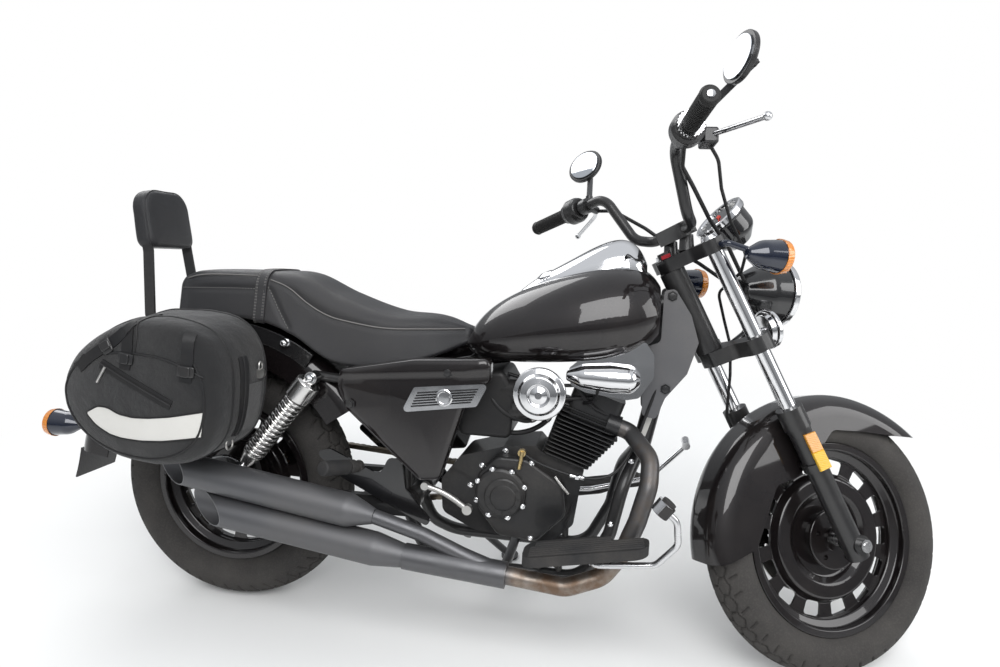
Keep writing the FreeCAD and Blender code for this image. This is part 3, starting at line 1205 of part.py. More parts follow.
def rear_sprocket():
    """The toothed ring on the left of the hub."""
    count = REAR_SPROCKET_TEETH
    outline = []
    for index in range(count):
        for share, radius in ((-0.25, REAR_SPROCKET_RADIUS - 4), (0.0, REAR_SPROCKET_RADIUS + 2)):
            angle = 2 * math.pi * (index + share * 2) / count
            outline.append(REAR_AXLE + V(math.cos(angle) * radius, CHAIN_Y - 3, math.sin(angle) * radius))
    face = Part.Face(Part.makePolygon(outline + outline[:1]))
    plate = face.extrude(V(0, 6, 0))
    hole = cylinder(REAR_AXLE, REAR_AXLE + ACROSS * 120, 18)
    return plate.cut(hole)


def drive_chain():
    """The chain: one closed band round both sprockets."""
    small, large = FRONT_SPROCKET_RADIUS, REAR_SPROCKET_RADIUS
    front = V(GEARBOX_SHAFT_X, 0, GEARBOX_SHAFT_Z)

    def band(offset, low, high):
        distance = front - REAR_AXLE
        tilt = math.atan2(distance.z, distance.x)
        spread = math.acos((large - small) / distance.Length)

        def rim(centre, radius, angle):
            return centre + V(math.cos(angle) * radius, low, math.sin(angle) * radius)
        upper, lower = tilt + spread, tilt - spread
        edges = [Part.Arc(rim(REAR_AXLE, large + offset, upper),
                          rim(REAR_AXLE, large + offset, tilt + math.pi),
                          rim(REAR_AXLE, large + offset, lower)),
                 Part.LineSegment(rim(REAR_AXLE, large + offset, lower), rim(front, small + offset, lower)),
                 Part.Arc(rim(front, small + offset, lower), rim(front, small + offset, tilt),
                          rim(front, small + offset, upper)),
                 Part.LineSegment(rim(front, small + offset, upper), rim(REAR_AXLE, large + offset, upper))]
        return Part.Face(Part.Wire([edge.toShape() for edge in edges])).extrude(V(0, high - low, 0))
    low, high = CHAIN_Y - CHAIN_WIDTH / 2, CHAIN_Y + CHAIN_WIDTH / 2
    return band(3 + CHAIN_HEIGHT, low, high).cut(band(3, low - 5, high + 5))


def bracket_plates():
    """The plates behind the side covers that carry the silencers and passenger pegs."""
    rows = [(262, 436, 14), (300, 446, 20), (424, 394, 20), (442, 436, 12), (474, 436, 12), (486, 366, 20),
            (548, 300, 10), (540, 284, 10), (460, 320, 30), (330, 380, 30)]
    return both_sides(side_plate(rows, -BRACKET_Y - BRACKET_WALL, -BRACKET_Y))


def passenger_pegs():
    """Rubber pegs with bright ferrules, folded out from bosses on the bracket plates."""
    face = -BRACKET_Y - BRACKET_WALL
    root, tip = V(373, face - 8, 413), V(330, -236, 432)
    along = unit(tip - root)
    peg = turned([(0, 0, 0), (0, 12, 2), (14, 12, 1), (14, 16, 1), (30, 16, 1), (30, 14, 1), (36, 17, 3),
                  (110, 17, 5), (110, 0, 0)],
                 root, along, V(0, 0, 1).cross(along))
    boss = cylinder(V(373, face, 413), V(373, face - 14, 413), 13)
    return both_sides(fused([peg, boss]))


def footboards():
    """Rider's footboards, rising towards the front, on brackets from the cradle."""
    outline = [(776, 172, 34), (930, 172, 20), (966, 200, 20), (1036, 200, 20), (1036, 262, 44),
               (776, 262, 30)]
    face = rounded_face(outline, lambda x, y: V(x, -y, BOARD_LOW + (x - 776) * BOARD_SLOPE))
    board = face.extrude(V(0, 0, BOARD_WALL))
    legs = [bar([V(x, -CRADLE_HALF_WIDTH, CRADLE_HEIGHT + 4), V(x, -CRADLE_HALF_WIDTH - 3, 240),
                 V(x, -190, 252), V(x, -208, 286)], 8, 22)
            for x in (800, 846)]
    tube = cylinder(V(700, -CRADLE_HALF_WIDTH, CRADLE_HEIGHT), V(858, -CRADLE_HALF_WIDTH, CRADLE_HEIGHT),
                    CRADLE_TUBE_RADIUS)
    return both_sides(fused([board] + legs).cut(tube))


def pedals():
    """The brake pedal on the right and the gear lever on the left."""
    brake = bar([V(934, -106, 258), V(914, -206, 268), V(1052, -214, 288), V(1094, -222, 340),
                 V(1088, -228, 392), V(1060, -229, 414)], 7, 26)
    pad = cylinder(V(1049, -230, 408), V(1065, -230, 430), 18)
    gear = bar([V(668, CASE_HALF_WIDTH - 10, 300), V(668, 124, 300), V(900, 132, 322), V(1050, 146, 362),
                V(1136, 156, 452)], 6, 40)
    rubber = cylinder(V(1136, 146, 453), V(1138, 196, 457), 10)
    return Part.Compound([fused([brake, pad]).cut(cradle_tube()), fused([gear, rubber])])


def saddlebag(side):
    """A soft side bag: rounded outline, wider behind on its outer face."""
    inner = [(-226, 590, 50), (-180, 486, 50), (-80, 448, 50), (90, 448, 50), (158, 520, 50),
             (162, 690, 40), (112, 750, 30),
             (-60, 756, 40), (-150, 730, 50), (-205, 660, 50)]
    outer = [(-246, 585, 60), (-200, 484, 60), (-90, 436, 70), (60, 436, 60), (118, 500, 50),
             (122, 640, 50), (100, 716, 40),
             (-20, 742, 50), (-120, 720, 60), (-215, 650, 60)]
    wires = [Part.Wire(rounded_edges([V(x, y * side, z) for x, z, r in rows], [r for x, z, r in rows],
                                     True))
             for rows, y in ((inner, BAG_INNER_Y), (outer, BAG_OUTER_Y))]
    return Part.makeLoft(wires, True, True)


def rear_indicators():
    """Bullet indicators on stems from the fender."""
    root = REAR_AXLE + spoke_at(TAIL_LAMP_ANGLE) * REAR_FENDER_RADIUS
    lamp = bullet(root + V(45, -150, -18), V(-1, 0, 0), 86, 32)
    stem = cylinder(root + V(13, -REAR_FENDER_HALF_WIDTH + 6, -12), root + V(5, -140, -16), 7)
    return both_sides(fused([lamp, stem]))


def tail_lamp():
    """The tail lamp on the back of the fender."""
    lamp = turned([(0, 0, 0), (0, 40, 0), (34, 42, 4), (56, 34, 12), (56, 0, 0)],
                  REAR_AXLE + spoke_at(TAIL_LAMP_ANGLE) * (REAR_FENDER_RADIUS - 8), V(-1, 0, 0.15), ACROSS)
    fender = turned([(-90, 0, 0), (-90, REAR_FENDER_RADIUS, 0), (90, REAR_FENDER_RADIUS, 0), (90, 0, 0)],
                    REAR_AXLE, ACROSS, V(0, 0, 1))
    return lamp.cut(fender)


def lean_rotation():
    """Rotation of the whole machine onto its stand, with the small pitch that sets both tyres on the ground."""
    pitch = 0.0
    lift = 0.0
    for _ in range(8):
        turn = FreeCAD.Rotation(V(1, 0, 0), -LEAN).multiply(FreeCAD.Rotation(ACROSS, pitch))
        rear = turn.multVec(REAR_AXLE)
        rear_low = tyre_low(rear, turn.multVec(ACROSS), REAR_TYRE_RADIUS, REAR_TYRE_HALF_WIDTH)
        steer = FreeCAD.Rotation(STEER_UP, STEER_STOP)
        front = turn.multVec(STEER_POINT + steer.multVec(FRONT_AXLE - STEER_POINT))
        front_low = tyre_low(front, turn.multVec(steer.multVec(ACROSS)), FRONT_TYRE_RADIUS,
                             FRONT_TYRE_HALF_WIDTH)
        pitch += math.degrees((front_low - rear_low) / WHEELBASE)
        lift = -rear_low
    return turn, lift


def tyre_low(centre, axle, radius, crown):
    """Height of the lowest point of a tyre whose crown is round."""
    return centre.z - (radius - crown) * math.sqrt(1 - axle.z ** 2) - crown


def lean_placement():
    turn, lift = lean_rotation()
    return FreeCAD.Placement(V(0, 0, lift), turn)


def steer_placement():
    return FreeCAD.Placement(V(0, 0, 0), FreeCAD.Rotation(STEER_UP, STEER_STOP), STEER_POINT)


def stand_foot(placement):
    """The point of the stand's foot that meets the ground, in the upright machine."""
    inverse = placement.inverse()
    down = inverse.Rotation.multVec(V(0, 0, -1))
    spot = V(STAND_FOOT_X, STAND_FOOT_Y, 60)
    height = placement.multVec(spot).z
    return spot + down * height


def side_stand():
    """The stand deployed: hub on its pivot, bent leg and round foot plate flat on the ground."""
    placement = lean_placement()
    foot = stand_foot(placement)
    normal = placement.inverse().Rotation.multVec(V(0, 0, 1))
    pad = cylinder(foot, foot + normal * STAND_PAD_HEIGHT, STAND_PAD_RADIUS)
    leg = bar([STAND_PIVOT, foot + normal * (STAND_PAD_HEIGHT - 3)], STAND_LEG_RADIUS, 0)
    axis = stand_axis()
    hub = cylinder(STAND_PIVOT - axis * STAND_HUB_HALF, STAND_PIVOT + axis * STAND_HUB_HALF, 17)
    bore = cylinder(STAND_PIVOT - axis * 30, STAND_PIVOT + axis * 30, STAND_PIN_RADIUS + BEARING_CLEARANCE)
    ground = Part.makeBox(400, 400, 100)
    ground.translate(V(-200, -200, -100))
    ground.Placement = FreeCAD.Placement(foot, placement.inverse().Rotation).multiply(ground.Placement)
    return fused([pad, leg, hub]).cut(ground).cut(bore)


def stand_axis():
    foot = stand_foot(lean_placement())
    return unit(unit(foot - STAND_PIVOT).cross(unit(STAND_FOLDED)))


def machine():
    """Every piece in the upright machine: name, shape and whether it turns with the fork."""
    tank, perches, bars = fuel_tank(), lever_perches(), backrest_bars()
    fixed = {
        "frame": frame(), "neck_plates": neck_plates(), "fuel_tank": tank,
             "tank_console": tank_console(tank), "seat": seat(),
        "backrest_pad": backrest_pad().cut(bars), "backrest_bars": bars, "rear_fender": rear_fender(),
             "fender_rails": fender_rails(),
        "side_covers": side_covers(), "side_badges": side_badges(), "crankcase": crankcase(),
             "engine_cylinder": engine_cylinder(),
        "air_cover": air_cover(), "air_box": air_box(), "coil_cover": coil_cover(tank),
             "exhaust_pipes": exhaust_pipes(), "mufflers": mufflers(),
        "shock_absorbers": shock_absorbers(), "swingarm": swingarm(), "rear_axle": rear_axle(),
             "drive_chain": drive_chain(),
        "bracket_plates": bracket_plates(), "passenger_pegs": passenger_pegs(), "footboards": footboards(),
             "pedals": pedals(),
        "saddlebag_right": saddlebag(-1), "saddlebag_left": saddlebag(1),
             "rear_indicators": rear_indicators(),
        "tail_lamp": tail_lamp(), "side_stand": side_stand(), "rear_tyre": rear_tyre(),
             "rear_wheel": rear_wheel(),
        "rear_sprocket": rear_sprocket()}
    steered = {
        "front_tyre": front_tyre(), "front_wheel": front_wheel(), "front_brake_disc": front_brake_disc(),
               "front_axle": front_axle(),
        "fork_sliders": fork_sliders(), "fork_tubes": fork_tubes(), "lower_clamp": lower_clamp(),
               "upper_clamp": upper_clamp(),
        "handlebar": handlebar(), "bar_clamp": bar_clamp(), "grips": grips(),
               "switch_housings": switch_housings(),
        "lever_perches": perches, "levers": levers(perches), "mirrors": mirrors(perches),
               "speedometer": speedometer(), "headlight": headlight(),
        "headlight_rim": headlight_rim(), "front_indicators": front_indicators(), "horn": horn(),
               "front_fender": front_fender(),
        "brake_caliper": brake_caliper(), "control_cables": control_cables()}
    return fixed, steered


def placed(shape, placement):
    """The shape moved as a whole, solid by solid."""
    result = shape.copy()
    result.Placement = placement.multiply(shape.Placement)
    return result


def placements(fixed, steered):
    """Where the machine and its steered front stand, once its base is centred on the origin."""
    lean = lean_placement()
    front = lean.multiply(steer_placement())
    box = FreeCAD.BoundBox()
    for shapes, placement in ((fixed, lean), (steered, front)):
        for shape in shapes.values():
            box.add(placed(shape, placement).optimalBoundingBox(False, False))
    centring = FreeCAD.Placement(V(-box.Center.x, -box.Center.y, 0), FreeCAD.Rotation())
    return centring.multiply(lean), centring.multiply(front)


def main():
    os.makedirs("parts", exist_ok=True)
    fixed, steered = machine()
    lean, front = placements(fixed, steered)
    for shapes, placement in ((fixed, lean), (steered, front)):
        for name, shape in shapes.items():
            placed(shape, placement).exportStep(os.path.join("parts", name + ".step"))


if __name__ == "__main__":
    main()
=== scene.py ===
import json
import math

import bmesh
import bpy
import numpy as np
from mathutils import Matrix, Vector
from mathutils.bvhtree import BVHTree


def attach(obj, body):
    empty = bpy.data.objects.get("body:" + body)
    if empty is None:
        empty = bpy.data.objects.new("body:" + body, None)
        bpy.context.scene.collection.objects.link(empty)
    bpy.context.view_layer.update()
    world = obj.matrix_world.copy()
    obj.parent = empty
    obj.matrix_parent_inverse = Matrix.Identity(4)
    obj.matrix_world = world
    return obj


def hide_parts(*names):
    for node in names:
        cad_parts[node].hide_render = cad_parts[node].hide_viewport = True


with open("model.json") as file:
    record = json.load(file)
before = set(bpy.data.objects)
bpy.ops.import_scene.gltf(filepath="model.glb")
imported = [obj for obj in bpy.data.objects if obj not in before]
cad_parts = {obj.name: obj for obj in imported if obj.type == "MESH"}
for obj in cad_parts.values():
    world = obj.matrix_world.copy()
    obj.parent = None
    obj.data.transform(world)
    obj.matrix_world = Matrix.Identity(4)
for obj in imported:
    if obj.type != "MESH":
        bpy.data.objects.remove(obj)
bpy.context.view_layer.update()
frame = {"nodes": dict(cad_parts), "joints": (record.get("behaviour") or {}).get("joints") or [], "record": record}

bl_info = {
    "name": "Cruiser motorcycle dressing",
    "version": (1, 1, 0),
    "blender": (4, 5, 0),
    "location": "View3D > Sidebar > Cruiser",
    "description": "Dresses a parked cruiser motorcycle: seat, bags, tyres, lamps and finishes",
    "category": "Object",
}

UP = np.array([0.0, 0.0, 1.0])
LEFT = np.array([0.0, 1.0, 0.0])
AHEAD = np.array([1.0, 0.0, 0.0])

# Chassis geometry, in radians and machine millimetres, as the solids have it
RAKE = math.radians(28.5)
STEER_STOP = math.radians(29.0)
WHEELBASE = 1450.0
FRONT_TYRE_RADIUS = 302.0
REAR_TYRE_RADIUS = 307.0
TRAIL_OFFSET = 61.0
REAR_AXLE = np.array([0.0, 0.0, REAR_TYRE_RADIUS])
FRONT_AXLE = np.array([WHEELBASE, 0.0, FRONT_TYRE_RADIUS])
STEER_UP = np.array([-math.sin(RAKE), 0.0, math.cos(RAKE)])
STEER_FORE = np.array([math.cos(RAKE), 0.0, math.sin(RAKE)])
STEER_FOOT = FRONT_AXLE - TRAIL_OFFSET * STEER_FORE
FORK = "fork_assembly"
STEERED_BODIES = (FORK, "front_wheel_assembly")

# Points of one mesh nearer together than this are joined, in metres
DOUBLES_REACH = 0.00002

# Machine millimetres: where rays start beside the middle plane, and how deep a screw's foot is sunk
BESIDE = 300.0
BESIDE_BAG = 420.0
BESIDE_SEAT = 260.0
SUNK = 0.5


def joint_of(name):
    """The loaded joint of that name."""
    return next(joint for joint in frame["joints"] if joint["name"] == name)


def unit(vector):
    """The vector made one long."""
    vector = np.asarray(vector, float)
    return vector / np.linalg.norm(vector)


def machine_axes():
    """Rotation and shift from the upright machine, origin under its rear axle, to the frame."""
    rear, steer = joint_of("rear_wheel_spin"), joint_of("steering")
    across, up = unit(rear["axis"]), unit(steer["axis"])
    ahead = np.cross(across, up)
    sine, cosine = math.sin(RAKE), math.cos(RAKE)
    turn = np.column_stack([cosine * ahead - sine * up, across, sine * ahead + cosine * up])
    return turn, np.array(rear["pos_m"], float) - turn @ REAR_AXLE / 1000.0


TURN, SHIFT = machine_axes()


def spin(axis, angle):
    """Rotation matrix about a unit axis."""
    cross = np.array([[0, -axis[2], axis[1]], [axis[2], 0, -axis[0]], [-axis[1], axis[0], 0]])
    return np.eye(3) + math.sin(angle) * cross + (1 - math.cos(angle)) * cross @ cross


STEERED = spin(STEER_UP, STEER_STOP)


def bike(points):
    """Upright machine millimetres to frame metres."""
    return np.asarray(points, float) / 1000.0 @ TURN.T + SHIFT


def fork(points):
    """Upright, straight-ahead millimetres of what steers to frame metres."""
    return bike((np.asarray(points, float) - STEER_FOOT) @ STEERED.T + STEER_FOOT)


def spoke(degrees):
    """Unit direction at an angle above straight ahead, seen from the side."""
    return np.array([math.cos(math.radians(degrees)), 0.0, math.sin(math.radians(degrees))])


def unit_rows(vectors):
    """Every vector of an array made one long."""
    return vectors / np.linalg.norm(vectors, axis=-1, keepdims=True)


def full_turn(steps):
    """Angles spaced evenly round one turn."""
    return np.linspace(0.0, 2 * math.pi, steps, endpoint=False)


def square_axes(axis, hint=UP):
    """Two unit directions square to an axis; the first is the nearest to the hint."""
    axis = unit(axis)
    first = np.asarray(hint, float) - axis * (axis @ hint)
    if np.linalg.norm(first) < 1e-3:
        first = np.cross(axis, AHEAD)
    first = unit(first)
    return first, np.cross(axis, first)


def ways_round(angle, axis, hint=UP):
    """Directions square to an axis: cos(angle) * first + sin(angle) * second of its square axes."""
    first, second = square_axes(axis, hint)
    return np.cos(angle)[:, None] * first + np.sin(angle)[:, None] * second


def rounded(points, rounds):
    """Corner cutting on an open line: each side is kept between its quarter points, again and again."""
    points = np.asarray(points, float)
    for _ in range(rounds):
        here, ahead = points[:-1], points[1:]
        cut = np.stack([0.75 * here + 0.25 * ahead, 0.25 * here + 0.75 * ahead], 1)
        points = np.concatenate([points[:1], cut.reshape(-1, points.shape[1]), points[-1:]])
    return points


def spaced(points, count, closed=False):
    """The same line with its points at even distances along it."""
    points = np.asarray(points, float)
    line = np.concatenate([points, points[:1]]) if closed else points
    reach = np.concatenate([[0.0], np.cumsum(np.linalg.norm(np.diff(line, axis=0), axis=1))])
    marks = np.linspace(0.0, reach[-1], count + 1 if closed else count)
    marks = marks[:-1] if closed else marks
    return np.stack([np.interp(marks, reach, line[:, axis]) for axis in range(line.shape[1])], 1)


def line(points, count, rounds=3):
    """A smooth open line near the given points."""
    return spaced(rounded(points, rounds), count)


class Form:
    """Gathers grids of points, in machine millimetres, into one piece."""

    def __init__(self):
        self.points = []
        self.faces = []
        self.count = 0

    def grid(self, points, close_u=False, close_v=False, caps=False):
        """Quads between neighbours of points[u, v]."""
        rows, columns = points.shape[:2]
        index = np.arange(rows * columns).reshape(rows, columns) + self.count
        here = index if close_u else index[:-1]
        ahead = np.roll(index, -1, 0) if close_u else index[1:]
        if close_v:
            quads = np.stack([here, ahead, np.roll(ahead, -1, 1), np.roll(here, -1, 1)], -1)
        else:
            quads = np.stack([here[:, :-1], ahead[:, :-1], ahead[:, 1:], here[:, 1:]], -1)
        self.faces += quads.reshape(-1, 4).tolist()
        if caps:
            self.faces += [index[0].tolist(), index[-1][::-1].tolist()]
        self.points.append(points.reshape(-1, 3))
        self.count += rows * columns
        return self

    def turn(self, rows, centre, axis, steps):
        """Rows of (along, radius) turned about an axis: centre + along * axis + radius * ring."""
        along, radius = np.array(rows, float).T[:, :, None, None]
        ring = ways_round(full_turn(steps), axis)
        points = np.asarray(centre, float) + along * unit(axis) + radius * ring
        return self.grid(points, close_v=True, caps=True)

    def tube(self, path, radius, steps, hint, close=False):
        """A circle carried along a path, kept square to it: path + radius * (cos a side + sin a over)."""
        path = np.asarray(path, float)
        step = np.roll(path, -1, 0) - np.roll(path, 1, 0) if close else np.gradient(path, axis=0)
        tangent = unit_rows(step)
        side = unit_rows(np.cross(tangent, hint))
        over = np.cross(side, tangent)
        angle = full_turn(steps)[None, :, None]
        size = np.broadcast_to(radius, len(path))[:, None, None]
        points = path[:, None] + size * (np.cos(angle) * side[:, None] + np.sin(angle) * over[:, None])
        return self.grid(points, close_u=close, close_v=True, caps=not close)

    def band(self, path, normal, width, thick):
        """A flat strip: the path moved half its width across and its thickness along the normal."""
        path = np.asarray(path, float)
        normal = np.broadcast_to(normal, path.shape)
        across = unit_rows(np.cross(np.gradient(path, axis=0), normal))
        corners = np.array([(-1, 0), (1, 0), (1, 1), (-1, 1)], float)
        points = path[:, None] + corners[None, :, :1] * across[:, None] * width / 2
        points = points + corners[None, :, 1:] * normal[:, None] * thick
        return self.grid(points, close_v=True, caps=True)

    def slab(self, outline, normal, thick, inset):
        """A flat closed plate: its outline, and the outline moved along the normal and drawn in."""
        middle = outline.mean(0)
        rise, shoulder = normal * thick, outline + normal * thick * 0.7
        drawn = outline + (middle - outline) * inset
        return self.grid(np.stack([outline, shoulder, drawn + rise]), close_v=True, caps=True)

    def copies(self, shape, spots, turns):
        """Many copies of one small closed grid, each turned by its matrix and moved to its spot."""
        rows, columns = shape.shape[:2]
        index = np.arange(rows * columns).reshape(rows, columns)
        round_next = np.roll(index, -1, 1)
        quads = np.stack([index[:-1], index[1:], round_next[1:], round_next[:-1]], -1).reshape(-1, 4)
        placed = np.einsum("nij,rcj->nrci", turns, shape) + spots[:, None, None, :]
        starts = self.count + np.arange(len(spots)) * rows * columns
        self.faces += (quads[None] + starts[:, None, None]).reshape(-1, 4).tolist()
        self.points.append(placed.reshape(-1, 3))
        self.count += len(spots) * rows * columns
        return self

    def stitches(self, path, pitch, length, radius, hint):
        """Short rounded threads laid end to end along a path."""
        total = np.linalg.norm(np.diff(path, axis=0), axis=1).sum()
        count = max(int(total / pitch), 2)
        spots = spaced(path, count)
        tangent = unit_rows(np.gradient(spots, axis=0))
        side = unit_rows(np.cross(tangent, hint))
        turns = np.stack([tangent, side, np.cross(tangent, side)], -1)
        return self.copies(grain(length, radius), spots, turns)

    def make(self, name, look, body="chassis", sharp=38.0):
        """One object of the gathered grids, faces outwards; edges over sharp degrees stay hard."""
        material = finish(look)
        place = fork if body in STEERED_BODIES else bike
        mesh = bpy.data.meshes.new(name)
        mesh.from_pydata(place(np.concatenate(self.points)).tolist(), [], self.faces)
        work = bmesh.new()
        work.from_mesh(mesh)
        bmesh.ops.remove_doubles(work, verts=work.verts, dist=DOUBLES_REACH)
        bmesh.ops.recalc_face_normals(work, faces=work.faces)
        work.to_mesh(mesh)
        work.free()
        mesh.validate()
        mesh.shade_smooth()
        mesh.set_sharp_from_angle(angle=math.radians(sharp))
        mesh.materials.append(material)
        piece = bpy.data.objects.new(name, mesh)
        bpy.context.scene.collection.objects.link(piece)
        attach(piece, body)
        return piece


def grain(length, radius):
    """A closed grid shaped as a rounded thread along x."""
    along = np.array([-0.5, -0.42, 0.0, 0.42, 0.5])[:, None] * length
    size = np.array([0.0, 0.75, 1.0, 0.75, 0.0])[:, None] * radius
    angle = full_turn(6)
    return np.stack(np.broadcast_arrays(along, size * np.cos(angle), size * np.sin(angle)), -1)


class Nodes:
    """Short calls for building a tree of shader nodes."""

    def __init__(self, tree):
        self.tree = tree

    def node(self, kind, inputs=(), **settings):
        """A new node with its settings, and its inputs set or linked by name or number."""
        made = self.tree.nodes.new(kind)
        for key, value in settings.items():
            setattr(made, key, value)
        for key, value in dict(inputs).items():
            self.put(made.inputs[key], value)
        return made

    def put(self, socket, value):
        """Links another node's output to the socket, or sets its constant."""
        if isinstance(value, bpy.types.NodeSocket):
            self.tree.links.new(value, socket)
        else:
            socket.default_value = value

    def math(self, operation, a, b):
        """One arithmetic step."""
        return self.node("ShaderNodeMath", {0: a, 1: b}, operation=operation).outputs[0]

    def ramp(self, value, low, high, start=0.0, end=1.0):
        """The value carried from low..high to start..end, held at both."""
        inputs = {"Value": value, "From Min": low, "From Max": high, "To Min": start, "To Max": end}
        return self.node("ShaderNodeMapRange", inputs).outputs[0]

    def seen_by_camera(self, shader, shown, share=1.0):
        """One shader, and for camera rays another in its place to the given share."""
        path = self.node("ShaderNodeLightPath").outputs["Is Camera Ray"]
        share = path if share == 1.0 else self.math("MULTIPLY", share, path)
        return self.node("ShaderNodeMixShader", {0: share, 1: shader, 2: shown}).outputs[0]


class Shader(Nodes):
    """A new material on object coordinates."""

    def __init__(self, name):
        self.material = bpy.data.materials.new(name)
        self.material.use_nodes = True
        super().__init__(self.material.node_tree)
        self.main = self.tree.nodes["Principled BSDF"]
        self.coords = self.tree.nodes.new("ShaderNodeTexCoord").outputs["Object"]

    def noise(self, scale, detail=4.0, rough=0.5):
        """Fractal noise, its scale in steps a metre."""
        inputs = {"Vector": self.coords, "Scale": scale, "Detail": detail, "Roughness": rough}
        return self.node("ShaderNodeTexNoise", inputs).outputs["Fac"]

    def voronoi(self, scale, feature="F1"):
        """Distance within scattered cells."""
        inputs = {"Vector": self.coords, "Scale": scale}
        return self.node("ShaderNodeTexVoronoi", inputs, feature=feature).outputs["Distance"]

    def wave(self, scale, direction, distortion=0.0):
        """Even bands along one axis."""
        inputs = {"Vector": self.coords, "Scale": scale, "Distortion": distortion}
        return self.node("ShaderNodeTexWave", inputs, bands_direction=direction).outputs["Fac"]

    def along(self, direction):
        """Distance along a direction of the frame, in metres."""
        inputs = {0: self.coords, 1: [float(part) for part in direction]}
        return self.node("ShaderNodeVectorMath", inputs, operation="DOT_PRODUCT").outputs["Value"]

    def mix(self, share, first, second):
        """The first colour going over to the second."""
        inputs = {0: share, 6: first, 7: second}
        return self.node("ShaderNodeMix", inputs, data_type="RGBA").outputs[2]

    def bump(self, height, distance, strength=1.0):
        """Relief too fine for the mesh, its height in metres."""
        inputs = {"Height": height, "Distance": distance, "Strength": strength}
        self.put(self.main.inputs["Normal"], self.node("ShaderNodeBump", inputs).outputs[0])

    def set(self, **values):
        """Sets or links sockets of the surface, an underscore standing for a space."""
        for key, value in values.items():
            self.put(self.main.inputs[key.replace("_", " ")], value)

    def film(self, scale, detail, low, fine_scale, fine_low, dust):
        """Share of an uneven film: broad patches times fine specks, times the dust."""
        patch = self.ramp(self.noise(scale, detail[0], detail[1]), low, 0.75)
        fine = self.ramp(self.noise(fine_scale, 3.0), fine_low, 0.7, 0.6, 1.0)
        return self.math("MULTIPLY", self.math("MULTIPLY", patch, fine), dust)


def rgb(red, green, blue):
    """An opaque colour."""
    return (red, green, blue, 1.0)


WHITE = rgb(1, 1, 1)
DUST = rgb(0.30, 0.27, 0.235)
RUST = rgb(0.20, 0.085, 0.035)


def painted(name, colour, rough, metal, coat, dust, cast=0.0):
    """Paint or enamel under a thin uneven film of dust, with fine orange peel or a cast grain."""
    s = Shader(name)
    share = s.film(5.0, (5.0, 0.55), 0.4, 140.0, 0.35, dust)
    s.set(Base_Color=s.mix(share, rgb(*colour), DUST), Metallic=metal)
    s.set(Coat_Weight=coat, Coat_Roughness=0.04, Specular_IOR_Level=0.38)
    s.set(Roughness=s.ramp(share, 0.0, dust, rough, rough + 0.2))
    s.bump(s.noise(700.0 if cast else 420.0, 2.0), 0.00003 + cast)
    return s.material


def body_paint(name):
    """Near-black brown lacquer: a clear coat over fine metal flakes."""
    s = Shader(name)
    flakes = s.ramp(s.voronoi(1500.0), 0.0, 0.6)
    base = s.mix(flakes, rgb(0.022, 0.015, 0.013), rgb(0.007, 0.006, 0.007))
    film = s.math("MULTIPLY", s.ramp(s.noise(6.0, 6.0, 0.6), 0.45, 0.8), 0.035)
    s.set(Base_Color=s.mix(film, base, DUST), Metallic=0.35)
    s.set(Roughness=s.ramp(flakes, 0.0, 1.0, 0.22, 0.34))
    s.set(Coat_Weight=1.0, Coat_Roughness=0.03, Coat_IOR=1.5, Specular_IOR_Level=0.12)
    s.bump(s.noise(260.0, 2.0), 0.00002)
    return s.material


def bright(name, colour=(0.70, 0.70, 0.71), rough=0.06, haze=0.1, rust=0.0):
    """Chrome or polished metal with thin haze and optional rust freckles."""
    s = Shader(name)
    patch = s.noise(14.0, 5.0, 0.6)
    base = rgb(*colour)
    if rust:
        freckles = s.math("MULTIPLY", s.noise(70.0, 5.0, 0.7), s.ramp(patch, 0.35, 0.7))
        base = s.mix(s.math("GREATER_THAN", freckles, 1.0 - rust), base, RUST)
    s.set(Base_Color=base, Metallic=1.0, Roughness=s.ramp(patch, 0.4, 0.75, rough, rough + haze))
    s.bump(s.noise(60.0, 2.0), 0.00001)
    return s.material


def rubbery(name, colour, rough, dust):
    """Rubber, thread or plain plastic under brown dust."""
    s = Shader(name)
    share = s.film(11.0, (6.0, 0.6), 0.35, 230.0, 0.3, dust)
    s.set(Base_Color=s.mix(share, rgb(*colour), rgb(0.20, 0.175, 0.15)))
    s.set(Roughness=rough, Specular_IOR_Level=0.3)
    s.bump(s.noise(300.0, 3.0), 0.00012)
    return s.material


def header_pipe(name):
    """Heat-stained pipe: grey-brown at the port, bronze with rust along the bend, grey sleeve behind."""
    s = Shader(name)
    start, ground = float(SHIFT @ TURN[:, 0]), float(SHIFT @ TURN[:, 2])
    low = s.ramp(s.along(TURN[:, 0]), start + 0.735, start + 0.76)
    high = s.ramp(s.along(TURN[:, 2]), ground + 0.24, ground + 0.34)
    patch = s.noise(22.0, 6.0, 0.65)
    bronze = s.mix(s.ramp(patch, 0.4, 0.62), rgb(0.27, 0.235, 0.205), rgb(0.17, 0.115, 0.08))
    upper = s.mix(s.ramp(patch, 0.45, 0.7), rgb(0.115, 0.113, 0.115), rgb(0.115, 0.095, 0.08))
    pipe = s.mix(high, bronze, upper)
    s.set(Base_Color=s.mix(low, rgb(0.12, 0.12, 0.125), pipe), Metallic=0.8)
    s.set(Roughness=s.ramp(patch, 0.3, 0.7, 0.34, 0.55))
    s.bump(s.noise(240.0, 4.0), 0.00006)
    return s.material


def tyre_rubber(name):
    """Worn grey-brown rubber with paler patches and fine dusty specks."""
    s = Shader(name)
    patch = s.ramp(s.noise(7.0, 6.0, 0.6), 0.35, 0.75)
    fine = s.noise(260.0, 4.0)
    base = s.mix(patch, rgb(0.034, 0.032, 0.031), rgb(0.060, 0.056, 0.052))
    s.set(Base_Color=s.mix(s.ramp(fine, 0.45, 0.75, 0.0, 0.25), base, rgb(0.10, 0.092, 0.084)))
    s.set(Roughness=0.82, Specular_IOR_Level=0.25)
    s.bump(fine, 0.00015)
    return s.material


